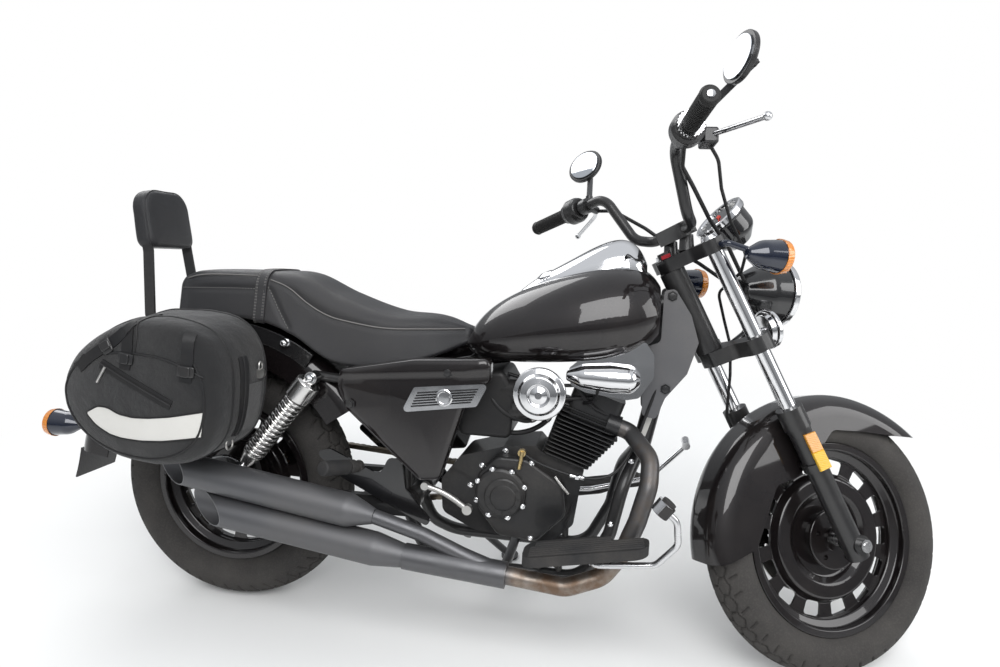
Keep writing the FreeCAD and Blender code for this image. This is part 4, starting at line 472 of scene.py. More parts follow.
def vinyl(name):
    """Black grained seat cover, a little paler and duller in worn patches."""
    s = Shader(name)
    cells = s.voronoi(520.0, "DISTANCE_TO_EDGE")
    wear = s.ramp(s.noise(4.0, 4.0), 0.4, 0.7)
    s.set(Base_Color=s.mix(wear, rgb(0.016, 0.016, 0.018), rgb(0.026, 0.025, 0.026)))
    s.set(Roughness=s.ramp(wear, 0.0, 1.0, 0.36, 0.46), Specular_IOR_Level=0.45)
    s.bump(s.math("ADD", s.ramp(cells, 0.0, 0.25), s.noise(60.0, 3.0)), 0.00022)
    return s.material


def textile(name, light=1.0):
    """Woven bag cloth: two crossed thread waves over soft folds."""
    s = Shader(name)
    weave = s.math("MAXIMUM", s.wave(420.0, "X", 1.2), s.wave(420.0, "Z", 1.2))
    fade = s.ramp(s.noise(6.0, 5.0, 0.6), 0.35, 0.75)
    dark, pale = 0.014 * light, 0.027 * light
    s.set(Base_Color=s.mix(fade, rgb(dark, dark, dark * 1.06), rgb(pale, pale * 0.96, pale * 0.94)))
    s.set(Roughness=0.86, Sheen_Weight=0.25, Sheen_Roughness=0.5, Specular_IOR_Level=0.25)
    folds = s.math("MULTIPLY", s.noise(26.0, 4.0, 0.6), 6.0)
    s.bump(s.math("ADD", folds, s.math("MULTIPLY", weave, 0.35)), 0.0006)
    return s.material


def glassy(name, colour, rough, ribs):
    """A moulded, ribbed lens in its own colour, under a hard gloss."""
    s = Shader(name)
    deeper = rgb(*[part * 0.82 for part in colour])
    s.set(Base_Color=s.mix(s.noise(30.0), rgb(*colour), deeper), Roughness=rough)
    s.set(Coat_Weight=0.8, Coat_Roughness=0.03, Specular_IOR_Level=0.6)
    s.bump(s.wave(ribs, "Z"), 0.0006)
    return s.material


# Each finish: the function that builds it, and what it is built from
FINISHES = {
    "frame_black": (painted, (0.012, 0.012, 0.013), 0.34, 0.0, 0.25, 0.08),
    "neck_grey": (painted, (0.105, 0.105, 0.11), 0.42, 0.3, 0.0, 0.2),
    "body_paint": (body_paint,),
    "bright_chrome": (bright,),
    "rail_black": (painted, (0.010, 0.010, 0.011), 0.2, 0.0, 0.7, 0.05),
    "engine_black": (painted, (0.011, 0.011, 0.012), 0.42, 0.0, 0.15, 0.14, 0.0001),
    "header_steel": (header_pipe,),
    "muffler_grey": (painted, (0.115, 0.116, 0.122), 0.42, 0.6, 0.0, 0.12),
    "spring_chrome": (bright, (0.62, 0.61, 0.60), 0.14, 0.16),
    "axle_steel": (bright, (0.60, 0.60, 0.60), 0.2, 0.2),
    "chain_steel": (bright, (0.22, 0.19, 0.15), 0.35, 0.25, 0.55),
    "gloss_black": (painted, (0.008, 0.008, 0.009), 0.14, 0.0, 0.8, 0.03),
    "peg_rubber": (rubbery, (0.020, 0.020, 0.021), 0.62, 0.18),
    "bag_textile": (textile,),
    "seat_vinyl": (vinyl,),
    "lamp_black": (painted, (0.006, 0.010, 0.024), 0.12, 0.2, 1.0, 0.02),
    "lens_red": (glassy, (0.32, 0.010, 0.006), 0.1, 60.0),
    "tyre_rubber": (tyre_rubber,),
    "wheel_black": (body_paint,),
    "disc_steel": (bright, (0.5, 0.49, 0.47), 0.22, 0.15),
    "fork_black": (painted, (0.012, 0.012, 0.013), 0.3, 0.0, 0.4, 0.08),
    "grip_rubber": (rubbery, (0.012, 0.012, 0.012), 0.55, 0.06),
    "lever_black": (painted, (0.014, 0.014, 0.015), 0.3, 0.0, 0.3, 0.06),
    "lever_silver": (bright, (0.62, 0.62, 0.63), 0.2, 0.15),
    "cable_black": (rubbery, (0.012, 0.012, 0.013), 0.45, 0.06),
    "caliper_grey": (painted, (0.10, 0.10, 0.10), 0.5, 0.4, 0.0, 0.2),
    "thread_grey": (rubbery, (0.17, 0.165, 0.16), 0.8, 0.1),
    "amber_lens": (glassy, (0.72, 0.24, 0.02), 0.12, 50.0),
    "yellow_lens": (glassy, (0.80, 0.46, 0.02), 0.2, 90.0),
    "orange_lens": (glassy, (0.66, 0.28, 0.02), 0.2, 90.0),
    "mirror_glass": (bright, (0.50, 0.52, 0.55), 0.01, 0.01),
    "clear_lens": (glassy, (0.62, 0.64, 0.66), 0.06, 45.0),
    "dial_white": (rubbery, (0.7, 0.7, 0.68), 0.6, 0.02),
    "needle_red": (rubbery, (0.6, 0.05, 0.03), 0.5, 0.02),
    "tag_red": (rubbery, (0.26, 0.010, 0.016), 0.6, 0.02),
    "brass": (bright, (0.52, 0.40, 0.20), 0.3, 0.2),
    "reflective_white": (rubbery, (0.62, 0.61, 0.58), 0.55, 0.1),
    "pocket_cloth": (textile, 2.2),
    "bare_alloy": (bright, (0.52, 0.51, 0.49), 0.3, 0.2),
}
MADE = {}


def finish(name):
    """The shared material of one finish, made on first use."""
    if name not in MADE:
        build, *values = FINISHES[name]
        MADE[name] = build(name, *values)
    return MADE[name]


def fillets(corners, radii, arc_steps, side_steps):
    """Closed rings with rounded corners, for corners[ring, corner, 2].

    A corner's arc touches both its sides: with n1 and n2 its end normals and a the angle between
    them, a point is centre + radius * (sin((1 - t) a) n1 + sin(t a) n2) / sin a. Sides are split
    evenly.
    """
    corners = np.asarray(corners, float)
    radii = np.broadcast_to(np.asarray(radii, float), corners.shape[:2])[..., None]
    back = unit_rows(np.roll(corners, 1, 1) - corners)
    ahead = unit_rows(np.roll(corners, -1, 1) - corners)
    half = 0.5 * np.arccos(np.clip((back * ahead).sum(2, keepdims=True), -0.9999, 0.9999))
    centre = corners + unit_rows(back + ahead) * radii / np.sin(half)
    first, second = corners + back * radii / np.tan(half), corners + ahead * radii / np.tan(half)
    n1, n2 = ((first - centre) / radii)[:, :, None], ((second - centre) / radii)[:, :, None]
    angle = (math.pi - 2 * half)[:, :, None]
    t = np.linspace(0.0, 1.0, arc_steps)[None, None, :, None]
    arcs = np.sin((1 - t) * angle) * n1 + np.sin(t * angle) * n2
    arcs = centre[:, :, None] + radii[:, :, None] * arcs / np.sin(angle)
    share = (np.arange(side_steps) + 1.0)[None, None, :, None] / (side_steps + 1)
    sides = second[:, :, None] * (1 - share) + np.roll(first, -1, 1)[:, :, None] * share
    return np.concatenate([arcs, sides], 2).reshape(len(corners), -1, 2)


def through(rows, count):
    """A Catmull-Rom curve through the rows of a table, at even parameters."""
    rows = np.asarray(rows, float)
    ends = np.concatenate([2 * rows[:1] - rows[1:2], rows, 2 * rows[-1:] - rows[-2:-1]])
    place = np.linspace(0.0, len(rows) - 1.0, count)
    start = np.minimum(place.astype(int), len(rows) - 2)
    f = (place - start)[:, None]
    a, b, c, d = ends[start], ends[start + 1], ends[start + 2], ends[start + 3]
    square, cube = 2 * a - 5 * b + 4 * c - d, 3 * b - a - 3 * c + d
    return 0.5 * (2 * b + (c - a) * f + square * f ** 2 + cube * f ** 3)


def grid_normals(points):
    """Unit normals of a grid closed along v, pointing away from each ring's middle."""
    along = np.gradient(points, axis=0)
    around = np.roll(points, -1, 1) - np.roll(points, 1, 1)
    normal = np.cross(along, around)
    normal /= np.maximum(np.linalg.norm(normal, axis=2, keepdims=True), 1e-9)
    outward = points - points.mean(1, keepdims=True)
    return normal * np.sign((normal * outward).sum())


def softened(outline, width):
    """A closed outline averaged along itself over a bell-shaped window, kept at its own size."""
    count = 240
    even = spaced(outline, count, True)
    step = np.arange(count)
    gap = np.minimum(step, count - step) / width
    weight = np.exp(-gap ** 2)
    weight /= weight.sum()
    smooth = np.real(np.fft.ifft(np.fft.fft(even, axis=0) * np.fft.fft(weight)[:, None], axis=0))
    middle = smooth.mean(0)
    growth = np.linalg.norm(even - middle, axis=1).mean() / np.linalg.norm(smooth - middle, axis=1).mean()
    return spaced(middle + (smooth - middle) * growth, 130, True)


def ripples(points, size, seed):
    """Soft folds: a sum of five crossed sine waves of falling size, between about -1 and 1."""
    random = np.random.default_rng(seed)
    total = np.zeros(points.shape[:-1])
    for order in range(5):
        direction = unit(random.normal(size=3))
        bend = unit(random.normal(size=3))
        phase = points @ direction / size * (1.0 + 0.7 * order)
        phase = phase + 1.3 * np.sin(points @ bend / size * 0.8)
        total += np.sin(phase * math.pi + random.uniform(0, 6.3)) / (1.0 + 0.6 * order)
    return total / 2.6


def loaded_points(name):
    """A loaded node's vertices, carried back to the machine's millimetres, and its mesh."""
    mesh = frame["nodes"][name].data
    coords = np.empty(len(mesh.vertices) * 3)
    mesh.vertices.foreach_get("co", coords)
    return (coords.reshape(-1, 3) - SHIFT) @ TURN * 1000.0, mesh


def near(points, lines, width):
    """How close each point is to any of the lines: 1 on a line, falling to 0 about two widths away."""
    flat = points.reshape(-1, 3)
    marks = np.concatenate(lines)
    nearest = np.min(((flat[:, None] - marks[None]) ** 2).sum(2), axis=1)
    return np.exp(-nearest / width ** 2).reshape(points.shape[:-1])


class Skin:
    """The faces of a form or of loaded solids, for laying trim on them."""

    def __init__(self, form=None, nodes=()):
        parts, faces = (form.points, form.faces) if form else ([], [])
        start = 0
        for name in nodes:
            points, mesh = loaded_points(name)
            parts.append(points)
            faces += [[start + index for index in face.vertices] for face in mesh.polygons]
            start += len(points)
        self.tree = BVHTree.FromPolygons(np.concatenate(parts).tolist(), faces)

    def under(self, points, direction, lift=0.0):
        """Where rays from the points meet the skin, raised along its normals; and the normals.

        A point whose ray misses stays where it is, with a normal against the ray.
        """
        points = np.asarray(points, float)
        directions = np.broadcast_to(np.asarray(direction, float), points.shape)
        spots, normals = points.copy(), -directions.copy()
        for index, (point, way) in enumerate(zip(points, directions)):
            hit = self.tree.ray_cast(Vector(point), Vector(way))
            if hit[0] is not None:
                spots[index] = hit[0]
                normals[index] = np.array(hit[1]) * (-1.0 if hit[1].dot(Vector(way)) > 0 else 1.0)
        return spots + normals * lift, normals

    def beside(self, rows, side, lift=0.0, away=BESIDE):
        """The same for side-view rows, with rays that start that far out on one side."""
        return self.under(at_side(rows, side * away), -side * LEFT, lift)


def patch(form, skin, points, direction, thick):
    """A thin cover over a grid of points, laid on the skin with its rim sunk in 2 mm."""
    spots, normals = skin.under(points.reshape(-1, 3), direction)
    top = (spots + normals * thick).reshape(points.shape)
    low = (spots - normals * 2.0).reshape(points.shape)
    form.grid(np.concatenate([top, low[:, ::-1]], 1), close_v=True, caps=True)


def at_side(rows, y):
    """Side-view rows of (x, z) as points at one y."""
    rows = np.asarray(rows, float)
    return np.stack([rows[:, 0], np.full(len(rows), float(y)), rows[:, 1]], 1)


# Stage, in metres: the camera's place is given from the ground below the upright rear axle
CAMERA_PLACE = np.array([0.94154, -1.42259, 1.20123])
SENSOR_WIDTH = 36.0
NEAR_CLIP = 0.02
FLOOR_RADIUS = 30.0
FLOOR_DROP = -0.0002
FADE_START, FADE_END = 1.0, 2.1
LAMPS = (("key", (0.6, -2.6, 3.4), 2.6, 1.0), ("rim", (-2.2, 2.2, 3.0), 2.4, 0.5),
         ("front", (3.2, -0.6, 1.9), 1.8, 0.3))
LAMPS_LOOK_AT = (0.0, 0.0, 0.5)

# Nodes that look other than the record's slot says
FINISH_CHANGES = {"pedals": "lever_silver"}

# Machine millimetres. Side-view rows are (x, z), turned rows are (along, radius), and what is on
# both sides is given for the left one
SCREW_HEAD = np.array([(0, 0), (0, 1.35), (0.25, 1.35), (0.3, 1), (0.8, 1), (1, 0.7), (1, 0.42),
                       (0.55, 0.36), (0.55, 0)]) * (4.5, 5.0)

# Front end, straight ahead: lamps, mirrors with their facing, dial, tag, fork reflectors and grips
FRONT_INDICATOR = np.array([1143.0, 158.0, 909.0])
HEADLIGHT = np.array([1338.0, 0.0, 864.0])
MIRRORS = (((1004, -333, 1229), (-1, 0, 0.136)), ((981, 333, 1254), (-1, -0.7, 0.36)))
SPEEDOMETER = np.array([1183.0, 0.0, 1034.0])
SPEEDOMETER_AXIS = (-0.765, 0.0, 0.644)
LOCK_TAG = [(1019, 911), (1041, 921), (1038, 929), (1016, 919)]
REFLECTOR_TOP = [(1302, 534), (1330, 543)]
REFLECTOR_FOOT = [(1344, 457), (1372, 468)]
REFLECTOR_OUT = 124
GRIP_END = np.array([882.0, 422.0, 1089.0])
GRIP_AXIS = np.array([-0.313, 0.947, -0.071])

# Chassis: filler cap, rear lamps, nuts, screws, the strip on the frame and the side badges
FILLER = np.array([790.0, 0.0, 852.0])
FILLER_AXIS = (-0.30, 0.0, 0.95)
FILLER_RADIUS = 37.0
REAR_INDICATOR = np.array([-340.0, 150.0, 452.0])
RAIL_NUTS = [(166, 683), (-20, 716), (-152, 696)]
SHOCK_NUTS = [(256, 612), (82, 384)]
PLATE_SCREWS = [(357, 562), (582, 651), (1059, 631), (1060, 840)]
BARE_STRIP = [(1024, 561), (1037, 556), (1024, 511), (1011, 516)]
BADGE_LOW = np.array([(493, 562), (640, 584)], float)
BADGE_HIGH = np.array([(512, 606), (662, 626)], float)
BADGE_MIDDLE = (577, 595)

# Middle of the backrest pad, and the point that the seat's strap goes round
BACKREST = np.array([-222.0, 0.0, 963.0])
SEAT_STRAP = np.array([106.0, 0.0, 775.0])

# Seat stations: x, height of its underside and its top, half widths there, radius of the top's corners
SEAT_ROWS = [(-118, 736, 826, 85.4, 68.3, 30), (-60, 734, 842, 102.5, 87.8, 34),
             (90, 733, 847, 112.2, 92.7, 36), (190, 705, 843, 119.6, 87.8, 40),
             (290, 650, 800, 122, 97.6, 40), (410, 640, 763, 117.1, 97.6, 34),
             (520, 668, 758, 85.4, 65.9, 28), (596, 700, 738, 43.9, 31.7, 12)]
RIDER_PIPING = [(126, 830), (173, 816), (219, 781), (276, 752), (333, 742), (416, 731), (498, 734),
                (590, 736)]
PASSENGER_PIPING = [(-104, 822), (-60, 834), (0, 837), (93, 838)]
PASSENGER_SEAM = [(-112, 800), (3, 806), (95, 808)]
DOWN_SEAM = [(124, 812), (136, 794), (158, 757), (182, 722)]

# Side cover: x, z and radius of each corner
COVER_CORNERS = [(326, 640, 14), (500, 674, 50), (676, 686, 14), (678, 638, 10), (620, 572, 14),
                 (570, 402, 14), (524, 396, 14), (345, 548, 36), (322, 600, 18)]

# Bag outlines, and its rings: share of the outer outline, distance out, how far drawn in
BAG_INNER = [(-226, 590), (-180, 486), (-80, 448), (90, 448), (158, 520), (162, 690), (112, 750),
             (-60, 756), (-150, 730), (-205, 660)]
BAG_OUTER = [(-246, 585), (-200, 484), (-90, 436), (60, 436), (118, 500), (122, 640), (100, 716),
             (-20, 742), (-120, 720), (-215, 650)]
BAG_RINGS = [(0.0, 177.0, 0.95), (0.0, 176.0, 0.6), (0.0, 176.0, 0.3), (0.0, 176.0, 0.05),
             (0.02, 179.0, 0.015), (0.05, 184.0, 0.0)]
BAG_RINGS += [(share, 176.0 + 154.0 * share, 0.0) for share in np.linspace(0.1, 0.86, 13)]
BAG_RINGS += [(0.92, 318.0, 0.012), (0.97, 325.0, 0.04), (1.0, 330.0, 0.08), (1.0, 333.0, 0.14),
              (1.0, 336.5, 0.25), (1.0, 339.5, 0.42), (1.0, 341.5, 0.62), (1.0, 342.5, 0.80),
              (1.0, 342.8, 0.96)]

# What is sewn to a bag's outer face
BAG_SEAMS = ([(-174, 662), (-219, 610), (-224, 562), (-193, 506), (-142, 466), (-50, 444), (29, 453),
              (84, 489), (104, 539), (106, 610), (84, 660)],
             [(-200, 640), (-140, 668), (-60, 676), (30, 668), (104, 632)],
             [(-52, 742), (-44, 700), (-50, 672)])
BAG_ZIP = [(-128, 648), (-50, 611), (36, 570)]
BAG_ZIP_PULL = [(-116, 641), (-135, 607)]
BAND_UPPER = [(-164, 540), (-128, 560), (-74, 536), (6, 540), (106, 560)]
BAND_LOWER = [(-164, 534), (-143, 510), (-101, 490), (-17, 486), (98, 504)]
LONG_STRAP = [(-50, 748), (-92, 700), (-150, 664), (-184, 634)]
SHORT_STRAPS = ([(-70, 742), (-64, 690), (-70, 640)], [(70, 722), (72, 670), (68, 622)])

# Engine: covers and screws in side view, paths (x, y, z) of the cable and hoses, wires with their sag
CLUTCH_COVER = (704, 372)
GENERATOR_COVER = (760, 352)
COVER_PLATE = (712, 365)
CASE_SCREWS = [(666, 469), (706, 461), (652, 421), (771, 446), (927, 394), (921, 353), (1006, 518),
               (995, 460), (957, 328), (1014, 621), (778, 271), (626, 371)]
CLUTCH_CABLE = [(752, -104, 468), (780, -104, 452), (809, -102, 441), (871, -100, 424), (923, -100, 423),
                (965, -92, 440), (1000, -70, 500), (1030, -52, 600), (1062, -40, 700), (1096, -34, 800)]
WIRES = (((690, -40, 640), (905, -46, 628), 16), ((690, -52, 628), (900, -58, 600), 26),
         ((700, -66, 600), (640, -70, 520), 12), ((850, -60, 640), (935, -52, 560), 18))
LOW_HOSE = [(606, -48, 492), (624, -60, 506), (660, -62, 523), (697, -62, 517), (712, -60, 500),
            (757, -60, 509), (790, -52, 528), (812, -40, 556)]
HIGH_HOSE = [(650, -60, 604), (666, -80, 587), (694, -82, 558), (726, -82, 543), (754, -76, 536),
             (780, -60, 545)]


class StageSettings(bpy.types.PropertyGroup):
    focal_share: bpy.props.FloatProperty(
        name="Focal length share", description="Focal length as a share of the picture's width",
        default=0.69131, min=0.2, max=5.0)
    yaw: bpy.props.FloatProperty(
        name="Yaw", description="Heading of the view from the machine's forward direction",
        default=1.7421, subtype="ANGLE", unit="ROTATION")
    pitch: bpy.props.FloatProperty(
        name="Pitch", description="How far the view looks down",
        default=0.2997, subtype="ANGLE", unit="ROTATION")
    roll: bpy.props.FloatProperty(
        name="Roll", description="Tilt of the picture",
        default=0.0086, subtype="ANGLE", unit="ROTATION")
    floor_colour: bpy.props.FloatVectorProperty(
        name="Floor", description="Colour of the floor",
        default=(0.82, 0.82, 0.81), subtype="COLOR", min=0.0, max=1.0)
    key_power: bpy.props.FloatProperty(
        name="Key light", description="Power of the large soft lamp", default=115.0, min=0.0, unit="POWER")
    sky_level: bpy.props.FloatProperty(
        name="Sky level", description="Strength of the dome of light overhead; it falls to the horizon",
        default=0.85, min=0.0, max=4.0)


class TyreSettings(bpy.types.PropertyGroup):
    blocks: bpy.props.IntProperty(
        name="Tread blocks", description="Tread pattern repeats round the front tyre",
        default=46, min=8, max=90)
    depth: bpy.props.FloatProperty(
        name="Groove depth", description="Depth of the grooves, in metres",
        default=0.0045, min=0.0, max=0.01, subtype="DISTANCE", unit="LENGTH")


class SoftSettings(bpy.types.PropertyGroup):
    crease: bpy.props.FloatProperty(
        name="Crease depth", description="How far a seam draws the padding in",
        default=0.003, min=0.0, max=0.01, subtype="DISTANCE", unit="LENGTH")
    folds: bpy.props.FloatProperty(
        name="Fold height", description="Height of the soft folds of the bags",
        default=0.0022, min=0.0, max=0.01, subtype="DISTANCE", unit="LENGTH")
    fill: bpy.props.FloatProperty(
        name="Fill", description="How full the padding is", default=0.85, min=0.0, max=1.0)


class CRUISER_OT_stage(bpy.types.Operator):
    """Adds the camera at the photographed angle, the pale floor and the soft lamps"""
    bl_idname = "cruiser.stage"
    bl_label = "Stage"

    def execute(self, context):
        setup = context.scene.cruiser_stage
        self.camera(context.scene, setup)
        self.floor(setup)
        self.lamps(context.scene, setup)
        return {"FINISHED"}

    def camera(self, scene, setup):
        """Looks along yaw and pitch, turned about its own axis by roll."""
        yaw, pitch, roll = setup.yaw, setup.pitch, setup.roll
        level = math.cos(pitch)
        look = np.array([math.cos(yaw) * level, math.sin(yaw) * level, -math.sin(pitch)])
        right = np.array([math.sin(yaw), -math.cos(yaw), 0.0])
        up = np.cross(right, look)
        across = math.cos(roll) * right + math.sin(roll) * up
        above = -math.sin(roll) * right + math.cos(roll) * up
        place = CAMERA_PLACE + (SHIFT[0], SHIFT[1], 0.0)
        data = bpy.data.cameras.new("view")
        data.sensor_fit = "HORIZONTAL"
        data.sensor_width = SENSOR_WIDTH
        data.lens = SENSOR_WIDTH * setup.focal_share
        data.clip_start = NEAR_CLIP
        view = bpy.data.objects.new("view", data)
        scene.collection.objects.link(view)
        turn = Matrix(np.column_stack([across, above, -look]).tolist())
        view.matrix_world = Matrix.Translation(place.tolist()) @ turn.to_4x4()
        scene.camera = view

    def floor(self, setup):
        """A round floor that keeps the machine's shadow and fades to plain white away from it."""
        angle = full_turn(64)
        ring = np.stack([np.cos(angle), np.sin(angle), np.zeros(64)], -1) * FLOOR_RADIUS
        ring[:, 2] = FLOOR_DROP
        mesh = bpy.data.meshes.new("floor")
        mesh.from_pydata(ring.tolist(), [], [list(range(64))])
        piece = bpy.data.objects.new("floor", mesh)
        bpy.context.scene.collection.objects.link(piece)
        s = Shader("floor")
        s.set(Base_Color=rgb(*setup.floor_colour), Roughness=0.9, Specular_IOR_Level=0.1)
        s.bump(s.noise(90.0, 4.0), 0.0002, 0.3)
        away = s.node("ShaderNodeVectorMath", {0: s.coords}, operation="LENGTH").outputs["Value"]
        glow = s.node("ShaderNodeEmission", {"Color": WHITE, "Strength": 1.0}).outputs[0]
        fade = s.ramp(away, FADE_START, FADE_END)
        shown = s.seen_by_camera(s.main.outputs[0], glow, fade)
        s.put(s.tree.nodes["Material Output"].inputs[0], shown)
        mesh.materials.append(s.material)

    def lamps(self, scene, setup):
        """Three soft lamps under a dome that dims towards the horizon; the camera sees plain white."""
        world = bpy.data.worlds.new("studio")
        world.use_nodes = True
        nodes = Nodes(world.node_tree)
        way = nodes.node("ShaderNodeTexCoord").outputs["Generated"]
        height = nodes.node("ShaderNodeSeparateXYZ", {0: way}).outputs["Z"]
        dome = nodes.ramp(height, 0.0, 0.75, 0.22, 1.0)
        sky = nodes.tree.nodes["Background"]
        nodes.put(sky.inputs[0], rgb(0.93, 0.96, 1.0))
        nodes.put(sky.inputs[1], nodes.math("MULTIPLY", dome, setup.sky_level))
        plain = nodes.node("ShaderNodeBackground", {0: WHITE, 1: 1.0}).outputs[0]
        shown = nodes.seen_by_camera(sky.outputs[0], plain)
        nodes.put(nodes.tree.nodes["World Output"].inputs[0], shown)
        scene.world = world
        for name, place, size, share in LAMPS:
            lamp = bpy.data.lights.new(name, "AREA")
            lamp.energy = share * setup.key_power
            lamp.size = size
            placed = bpy.data.objects.new(name, lamp)
            scene.collection.objects.link(placed)
            placed.location = place
            toward = Vector(LAMPS_LOOK_AT) - Vector(place)
            placed.rotation_euler = toward.to_track_quat("-Z", "Y").to_euler()


class CRUISER_OT_finishes(bpy.types.Operator):
    """Gives every loaded solid the finish that the record names for it"""
    bl_idname = "cruiser.finishes"
    bl_label = "Finishes"

    def execute(self, context):
        for entry in frame["record"]["subparts"]:
            solid = frame["nodes"][entry["node"]]
            solid.data.materials.clear()
            look = FINISH_CHANGES.get(entry["node"], entry["material_slot"])
            solid.data.materials.append(finish(look))
        return {"FINISHED"}


class CRUISER_OT_tyres(bpy.types.Operator):
    """Cuts the zigzag crown grooves and shoulder sipes into both tyres"""
    bl_idname = "cruiser.tyres"
    bl_label = "Tyres"

    def execute(self, context):
        setup = context.scene.cruiser_tyres
        table = (("front", FRONT_AXLE, FRONT_TYRE_RADIUS, 55.0, 216.0, 34.0),
                 ("rear", REAR_AXLE, REAR_TYRE_RADIUS, 65.0, 205.0, 41.0))
        for name, axle, radius, half, rim, seat in table:
            points = self.treaded(axle, radius, half, rim, seat, setup)
            tyre = Form().grid(points, close_u=True, close_v=True)
            made = tyre.make(name + "_tyre_treaded", "tyre_rubber", name + "_wheel_assembly", sharp=50.0)
            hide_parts(name + "_tyre")
        return {"FINISHED"}

    def treaded(self, axle, radius, half, rim, seat, setup):
        """Grid [round, across]: the section's arcs turned about the axle, pressed in along the grooves.

        With p the number of pattern steps round the tyre, s = arc position across the crown (0 at its
        middle, 1 at its widest) and w(p) a triangle wave, zigzag grooves run at |s| = 0.13 + 0.05 w(p)
        and |s| = 0.39 - 0.06 w(p). Slots cross the middle out to |s| = 0.10 where w = -1, others join
        the two grooves of a side where w = 1, and slanted sipes run from |s| = 0.44 to 0.68.
        """
        across, wall, count = 57, 9, 800
        crown = radius - half
        side = self.arc((seat, rim), (half * 0.93, (rim + crown) / 2 + 3), (half, crown), wall)
        top = self.arc((half, crown), (0, radius), (-half, crown), across)
        bead = np.array([(-seat, rim - 12.0), (0.0, rim - 13.0), (seat, rim - 12.0)])
        section = np.concatenate([side[:-1], top, side[-2::-1] * (-1, 1), bead])
        off_tread = 2.0
        share = np.full(len(section), off_tread)
        share[wall - 1:wall - 1 + across] = np.linspace(-1.0, 1.0, across)
        turn = np.linspace(0.0, 1.0, count, endpoint=False)[:, None]
        p = turn * round(setup.blocks * radius / FRONT_TYRE_RADIUS)
        s = np.abs(share)[None, :]
        wave = 4 * np.abs((p % 1.0) - 0.5) - 1.0
        groove, slot, far = 0.017, 0.055, 9.0
        off = np.abs((p % 1.0) - 0.5)
        inner = np.abs(s - 0.13 - 0.05 * wave) / groove
        outer = np.abs(s - 0.39 + 0.06 * wave) / groove
        middle = np.where(s < 0.10, off / slot, far)
        link = np.where((s > 0.16) & (s < 0.36), (0.5 - off) / slot, far)
        slant = np.abs(((p + 0.9 * s) % 1.0) - 0.5) / slot
        sipe = np.where((s > 0.44) & (s < 0.68), slant, far)
        nearest = np.minimum(np.minimum(inner, outer), np.minimum(np.minimum(middle, link), sipe))
        depth = setup.depth * 1000.0 * np.clip(1.5 - nearest, 0.0, 1.0)
        ring = section[None] - depth[..., None] * self.outward(section)[None]
        angle = turn * 2 * math.pi
        spokes = np.stack([np.cos(angle), np.zeros_like(angle), np.sin(angle)], -1)
        return axle + ring[..., :1] * LEFT + ring[..., 1:] * spokes

    def outward(self, section):
        """Normals of the closed section, pointing away from the wheel at its crown."""
        step = np.roll(section, -1, 0) - np.roll(section, 1, 0)
        normal = unit_rows(np.stack([step[:, 1], -step[:, 0]], 1))
        return normal * (1.0 if normal[len(section) // 2, 1] > 0 else -1.0)

    def arc(self, first, middle, last, count):
        """Points on the circle through three points."""
        a, b, c = (complex(*point) for point in (first, middle, last))
        w = (c - a) / (b - a)
        centre = (b - a) * (w - abs(w) ** 2) / (2j * w.imag) + a
        start, end = np.angle(a - centre), np.angle(c - centre)
        mid = np.angle(b - centre)
        span = (end - start) % (2 * math.pi)
        if (mid - start) % (2 * math.pi) > span:
            span -= 2 * math.pi
        turns = start + np.linspace(0.0, 1.0, count) * span
        points = centre + abs(a - centre) * np.exp(1j * turns)
        return np.stack([points.real, points.imag], 1)


